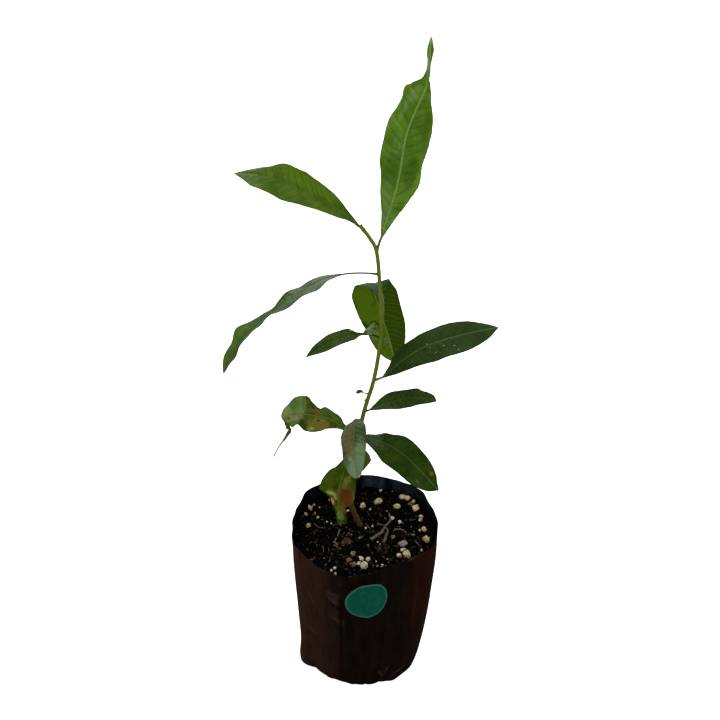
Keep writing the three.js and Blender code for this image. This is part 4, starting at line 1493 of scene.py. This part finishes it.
def leaf_rib(leaf):
    """A function that gives the rib's place, and the leaf's right side and face, at a distance along it"""
    length = leaf["margin"][-1][0]
    walk = [stem_at(leaf["height"]).copy()]
    steps = math.ceil(length / leaf_walk_step)
    for step in range(steps):
        run = leaf_frame(leaf["bends"], (step + 0.5) * leaf_walk_step)[0]
        walk.append(walk[-1] + run * leaf_walk_step)

    def rib_at(distance):
        step = clamped(distance / leaf_walk_step, 0, steps - 0.001)
        place = walk[int(step)].lerp(walk[int(step) + 1], step % 1)
        run, right, face = leaf_frame(leaf["bends"], distance)
        return place, right, face

    return rib_at


def marked(marks, distance, across):
    """Colour of the marks at a place, each laid over the ones before it, and how strongly they cover"""
    colour = Vector((0, 0, 0))
    cover = 0
    for mark_colour, mark_distance, mark_across, half_length, half_width, strength in marks:
        apart = math.hypot((distance - mark_distance) / half_length, (across - mark_across) / half_width)
        share = strength * (1 - smoothstep(apart, 0.45, 1.3))
        if share > 0:
            under = cover * (1 - share)
            colour = (Vector(mark_colour) * share + colour * under) / (share + under)
            cover = share + under
    return (*colour, cover)


def leaf_blade(leaf, seed, quilted):
    """The blade: a grid drawn out along the rib, with its own margin, fold, quilting and waves"""
    margin = leaf["margin"]
    start, end = margin[0][0], margin[-1][0]
    distances = [row[0] for row in margin]
    left_half, right_half, left_lift, right_lift = [
        curve_through(distances, [row[item] for row in margin]) for item in (1, 2, 3, 4)
    ]
    rib_at = leaf_rib(leaf)
    fold = math.radians(leaf["fold"])
    form = bmesh.new()
    rows = math.ceil((end - start) / blade_rows_gap)
    bmesh.ops.create_grid(form, x_segments=blade_columns, y_segments=rows, size=1)
    veins = form.loops.layers.uv.new("veins")
    blade = form.verts.layers.float_vector.new("blade")
    marks = form.verts.layers.float_color.new("marks")
    drawn = {}
    for corner in form.verts:
        side = corner.co.x
        share = (corner.co.y + 1) / 2
        distance = lerp(start, end, share)
        half = right_half(distance) if side > 0 else left_half(distance)
        lift = right_lift(distance) if side > 0 else left_lift(distance)
        away = abs(side) * half
        place, right, face = rib_at(distance)
        phase = (distance - away * vein_slant - away * away * vein_curl) / leaf["pitch"]
        phase += 0.5 if side < 0 else 0
        phase += vein_stray * noise.noise(Vector((distance / 13, 5 * (side > 0), seed + 5)))
        room = smoothstep(away, 0.4, 3.5) * (1 - side ** 4)
        quilt = quilted * room * math.sin(math.pi * phase) ** 2
        groove = -rib_groove * math.exp(-(away / rib_groove_width) ** 2)
        wave_place = Vector((distance / edge_wave_length, 4 * (side > 0), seed))
        wave = edge_wave * side * side * noise.noise(wave_place)
        swell_place = Vector((distance / blade_swell_length, side * 1.2, seed + 7))
        swell = blade_swell * noise.noise(swell_place) * abs(side)
        height = away * math.sin(fold) + lift * side * side + quilt + groove + wave + swell
        ragged_place = Vector((distance / ragged_edge_length, side, seed + 3))
        ragged = ragged_edge * side * side * noise.noise(ragged_place)
        across = (side * half + (ragged if side > 0 else -ragged)) * math.cos(fold)
        drawn[corner] = (phase, side * half / 10)
        corner[blade] = Vector((share, abs(side), distance / 100))
        corner[marks] = marked(leaf["marks"], distance, side * half)
        corner.co = place + right * across + face * height
    for face in form.faces:
        for loop in face.loops:
            loop[veins].uv = drawn[loop.vert]
    return form


def rib_form(leaf):
    """Stalk and rib as one tapering tube, sunk in the blade so that it shows thin above and raised below"""
    start, end = leaf["margin"][0][0], leaf["margin"][-1][0]
    rib_at = leaf_rib(leaf)
    steps = math.ceil(end * rib_reach / rib_step)
    route = []
    radii = []
    for step in range(steps + 1):
        distance = end * rib_reach * step / steps
        radius = leaf["stalk_radius"] * lerp(1, rib_tip_share, smoothstep(distance, start, end))
        radius += stalk_swelling * math.exp(-distance / stalk_swelling_length)
        place, _, face = rib_at(distance)
        sunk = (radius + rib_below_blade) * smoothstep(distance, start - 3, start + 8)
        route.append(place - face * sunk)
        radii.append(radius)
    form = bmesh.new()
    add_tube(form, route, radii, rib_sides)
    return form


def leaf_surface(group, given):
    """A leaf's colour and relief, from its vein coordinates and its marks"""
    place = object_place(group)
    veins = add_node(group, "SeparateXYZ", {"Vector": add_node(group, "UVMap", uv_map="veins").outputs["UV"]})
    phase = veins.outputs["X"]
    across = maths(group, "ABSOLUTE", veins.outputs["Y"])
    blade = add_node(group, "Attribute", attribute_name="blade").outputs["Vector"]
    margin = add_node(group, "SeparateXYZ", {"Vector": blade}).outputs["Y"]
    marks = add_node(group, "Attribute", attribute_name="marks").outputs

    side_vein = mask(group, maths(group, "PINGPONG", phase, 0.5), 0.02, 0.085, 1, 0)
    side_vein = maths(group, "MULTIPLY", side_vein, mask(group, margin, 0.72, 0.97, 1, 0))
    slow_phase = maths(group, "MULTIPLY", phase, 0.65)
    net_place = add_node(group, "CombineXYZ", {"X": slow_phase, "Y": veins.outputs["Y"]})
    net_values = {"Vector": net_place.outputs["Vector"], "Scale": 7.0}
    net = add_node(group, "TexVoronoi", net_values, feature="DISTANCE_TO_EDGE").outputs["Distance"]
    net = mask(group, net, 0.0, 0.10, 1, 0)
    rib = mask(group, maths(group, "DIVIDE", across, given["Rib width"]), 0.7, 1.1, 1, 0)

    cloud = noisy(group, place, 14, 3)
    fine = noisy(group, place, 1.6, 3)
    # Painted shade: on a leaf with a shaded side, that half keeps its deep green; elsewhere the light green
    # comes in random patches
    shaded = maths(group, "MULTIPLY", mask(group, veins.outputs["Y"], -0.03, 0.03), given["Shaded side"])
    lit = maths(group, "MULTIPLY", mask(group, cloud, 0.34, 0.66), maths(group, "SUBTRACT", 1.0, shaded))
    colour = mixed(group, lit, given["Deep"], given["Light"])
    colour = mixed(group, maths(group, "MULTIPLY", net, 0.2), colour, given["Deep"])
    colour = mixed(group, maths(group, "MULTIPLY", mask(group, fine, 0.4, 0.7), 0.14), colour, given["Light"])
    ragged = maths(group, "MULTIPLY_ADD", noisy(group, place, 3.5, 4, 0.65), 0.6)
    ragged.node.inputs[2].default_value = -0.3
    cover = mask(group, maths(group, "ADD", marks["Alpha"], ragged), 0.15, 0.75)
    cover = maths(group, "MULTIPLY", cover, mask(group, marks["Alpha"], 0.02, 0.3))
    colour = mixed(group, cover, colour, marks["Color"])
    vein_cover = maths(group, "MULTIPLY", side_vein, given["Vein strength"])
    colour = mixed(group, vein_cover, colour, given["Side vein"])
    colour = mixed(group, rib, colour, given["Rib"])
    colour = mixed(group, mask(group, margin, 0.965, 1.0, 0, 0.3), colour, given["Light"])

    roughness = mask(group, fine, 0.3, 0.7, 0.34, 0.48)
    relief = maths(group, "MULTIPLY", side_vein, -0.12)
    relief = maths(group, "ADD", relief, maths(group, "MULTIPLY", net, -0.04))
    relief = maths(group, "ADD", relief, maths(group, "MULTIPLY", fine, 0.10))
    return {
        "Color": colour,
        "Roughness": maths(group, "ADD", roughness, maths(group, "MULTIPLY", cover, 0.15)),
        "Height": maths(group, "MULTIPLY", relief, given["Relief"]),
    }


leaf_skin = make_skin(
    "leaf skin",
    ("Deep", "Light", "Rib", "Side vein"),
    ("Vein strength", "Rib width", "Shaded side", "Relief"),
    leaf_surface,
)


def stalk_surface(tree, given):
    """A smooth stalk or rib, with darker streaks along it"""
    grain = noisy(tree, stretched(tree, object_place(tree), (1, 1, 0.4)), 1.5, 3)
    return {
        "Color": mixed(tree, mask(tree, grain, 0.35, 0.65), given["Dark"], given["Light"]),
        "Roughness": mask(tree, grain, 0.3, 0.7, 0.4, 0.55),
        "Height": maths(tree, "MULTIPLY", grain, 0.08),
    }


stalk_skin = make_skin("stalk skin", ("Dark", "Light"), (), stalk_surface)
streak_darkness = 0.7
under_rib_width = 0.07
under_gloss_share = 0.5


def side_material(name, greens, rib, vein, strength, rib_width, shaded_side, relief, gloss):
    """One side of a leaf"""
    values = {
        "Deep": rgb(*greens[0]), "Light": rgb(*greens[1]), "Rib": rgb(*rib), "Side vein": rgb(*vein),
        "Vein strength": strength, "Rib width": rib_width, "Shaded side": shaded_side, "Relief": relief,
    }
    return wearing(name, leaf_skin, values, Specular_IOR_Level=gloss)


for number, (name, leaf) in enumerate(leaves.items()):
    look = looks[name]
    plain = name.replace("leaf_", "")
    upper_side = side_material(
        f"{plain} upper side", (look["deep"], look["light"]), look["rib"], look["vein"],
        look["vein_strength"], look["rib_width"], 0, 1, look["gloss"],
    )
    underside = side_material(
        f"{plain} underside", look["under"], look["under_vein"], look["under_vein"],
        look["under_strength"], under_rib_width, look["shaded_side"], -1, look["gloss"] * under_gloss_share,
    )
    blade_form = leaf_blade(leaf, 11 * number + 2, look["quilt"])
    blade_piece = piece_from(f"{name}_blade", blade_form, leaf["slot"], upper_side, underside)
    thicken(blade_piece, blade_thickness, inner_material=1)
    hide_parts(name)
    streak = [value * streak_darkness for value in look["stalk_colour"]]
    stalk_colours = {"Dark": rgb(*streak), "Light": rgb(*look["stalk_colour"])}
    rib_material = wearing(f"{plain} stalk", stalk_skin, stalk_colours, Specular_IOR_Level=look["gloss"])
    piece_from(f"{name}_rib", rib_form(leaf), leaf["slot"], rib_material)

# Buds and stubs
# A pointed bud closes the stem's tip, and a dried stalk and a cut stub are what is left of two shed leaves.
dried_height = 353
dried_points = [(0, 0, 0), (-3, -1, 0.5), (-6, -2.5, 2.2), (-8, -3, 4.2), (-10.5, -3, 3.6), (-12.5, -3, 2.2)]
dried_radii = [1.0, 0.6, 0.55, 1.4, 1.9, 0.8]
bud_points = [(0, 0, -1), (-1.1, -0.5, 2.4), (-1.6, -1, 5.4)]
bud_radii = [1.6, 1.2, 0.2]
stub_height = 345
stub_points = [(0, 0, 0), (-2.2, -2.2, 0.8), (-3.2, -3, 1.2)]
stub_radii = [1.5, 1.0, 0.6]
growth_sides = 12
withered_dark = rgb(0.022, 0.030, 0.008)
withered_light = rgb(0.065, 0.075, 0.025)


def grown(base, points, radii, steps=6):
    """A small tapering growth that stands on a place of the stem"""
    route = smooth_route([base + Vector(point) for point in points], steps)
    radius_at = curve_through(list(range(len(radii))), radii)
    form = bmesh.new()
    add_tube(form, route, [radius_at(step / steps) for step in range(len(route))], growth_sides)
    return form


def withered_surface(tree):
    """Dry, rough stalk in a dull olive"""
    grain = noisy(tree, object_place(tree), 1.2, 4, 0.7)
    return {
        "Base Color": mixed(tree, mask(tree, grain, 0.35, 0.65), withered_dark, withered_light),
        "Roughness": mask(tree, grain, 0.3, 0.7, 0.7, 0.95),
        "Height": maths(tree, "MULTIPLY", grain, 0.6),
    }


withered = make_material("withered stalk", withered_surface, Specular_IOR_Level=0.1)
dried_form = grown(stem_at(dried_height), dried_points, dried_radii)
dried = piece_from("dried_leaf_stalk", dried_form, "dried", withered)
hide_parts("dried_stalk")
piece_from("tip_bud", grown(stem_points[-1], bud_points, bud_radii), "bark", bark)
piece_from("leaf_stub", grown(stem_at(stub_height), stub_points, stub_radii), "bark", bark)

# Studio
# A plain white floor that runs out of sight, a white surround, a broad soft lamp behind and one above.
floor_size = 40
floor_form = bmesh.new()
bmesh.ops.create_grid(floor_form, x_segments=1, y_segments=1, size=floor_size / 2)
floor_mesh = bpy.data.meshes.new("floor")
floor_form.to_mesh(floor_mesh)
floor_form.free()
floor = bpy.data.objects.new("floor", floor_mesh)
bpy.context.scene.collection.objects.link(floor)


def floor_surface(tree):
    """White paper that the camera sees lit from below, and that is dim in the gloss of film and leaves"""
    dapple = noisy(tree, object_place(tree), 400, 2)
    paper = mixed(tree, dapple, rgb(0.86, 0.86, 0.86), rgb(0.88, 0.88, 0.88))
    rays = add_node(tree, "LightPath").outputs
    return {
        "Base Color": mixed(tree, rays["Is Glossy Ray"], paper, rgb(0.05, 0.045, 0.04)),
        "Roughness": mask(tree, dapple, 0.3, 0.7, 0.8, 0.9),
        "Emission Color": mixed(tree, rays["Is Camera Ray"], rgb(0, 0, 0), rgb(0.88, 0.88, 0.88)),
    }


white_floor = make_material("white floor", floor_surface, Specular_IOR_Level=0.0, Emission_Strength=1.0)
floor_mesh.materials.append(white_floor)

world = bpy.data.worlds.new("white surround")
bpy.context.scene.world = world
world.use_nodes = True
surround = world.node_tree.nodes["Background"]
rays = add_node(world.node_tree, "LightPath").outputs
seen = mixed(world.node_tree, rays["Is Camera Ray"], rgb(0.8, 0.8, 0.8), rgb(1, 1, 1))
reflected = mixed(world.node_tree, rays["Is Glossy Ray"], seen, rgb(0.08, 0.09, 0.1))
world.node_tree.links.new(reflected, surround.inputs["Color"])


def soft_lamp(name, place, aim, size, power, colour):
    """A round lamp that faces a point, in metres and watts"""
    lamp_data = bpy.data.lights.new(name, "AREA")
    lamp_data.shape = "DISK"
    lamp_data.size = size
    lamp_data.energy = power
    lamp_data.color = colour
    lamp = bpy.data.objects.new(name, lamp_data)
    lamp.location = place
    lamp.rotation_euler = (Vector(aim) - Vector(place)).to_track_quat("-Z", "Y").to_euler()
    bpy.context.scene.collection.objects.link(lamp)


soft_lamp("window lamp", (-0.7, 2.6, 2.0), (0, 0, 0.3), 2.4, 40, (0.95, 0.98, 1.0))
soft_lamp("ceiling lamp", (0.3, -0.5, 2.6), (0, 0, 0.2), 1.8, 24, (1.0, 0.99, 0.97))
bpy.context.scene.view_settings.view_transform = "Standard"
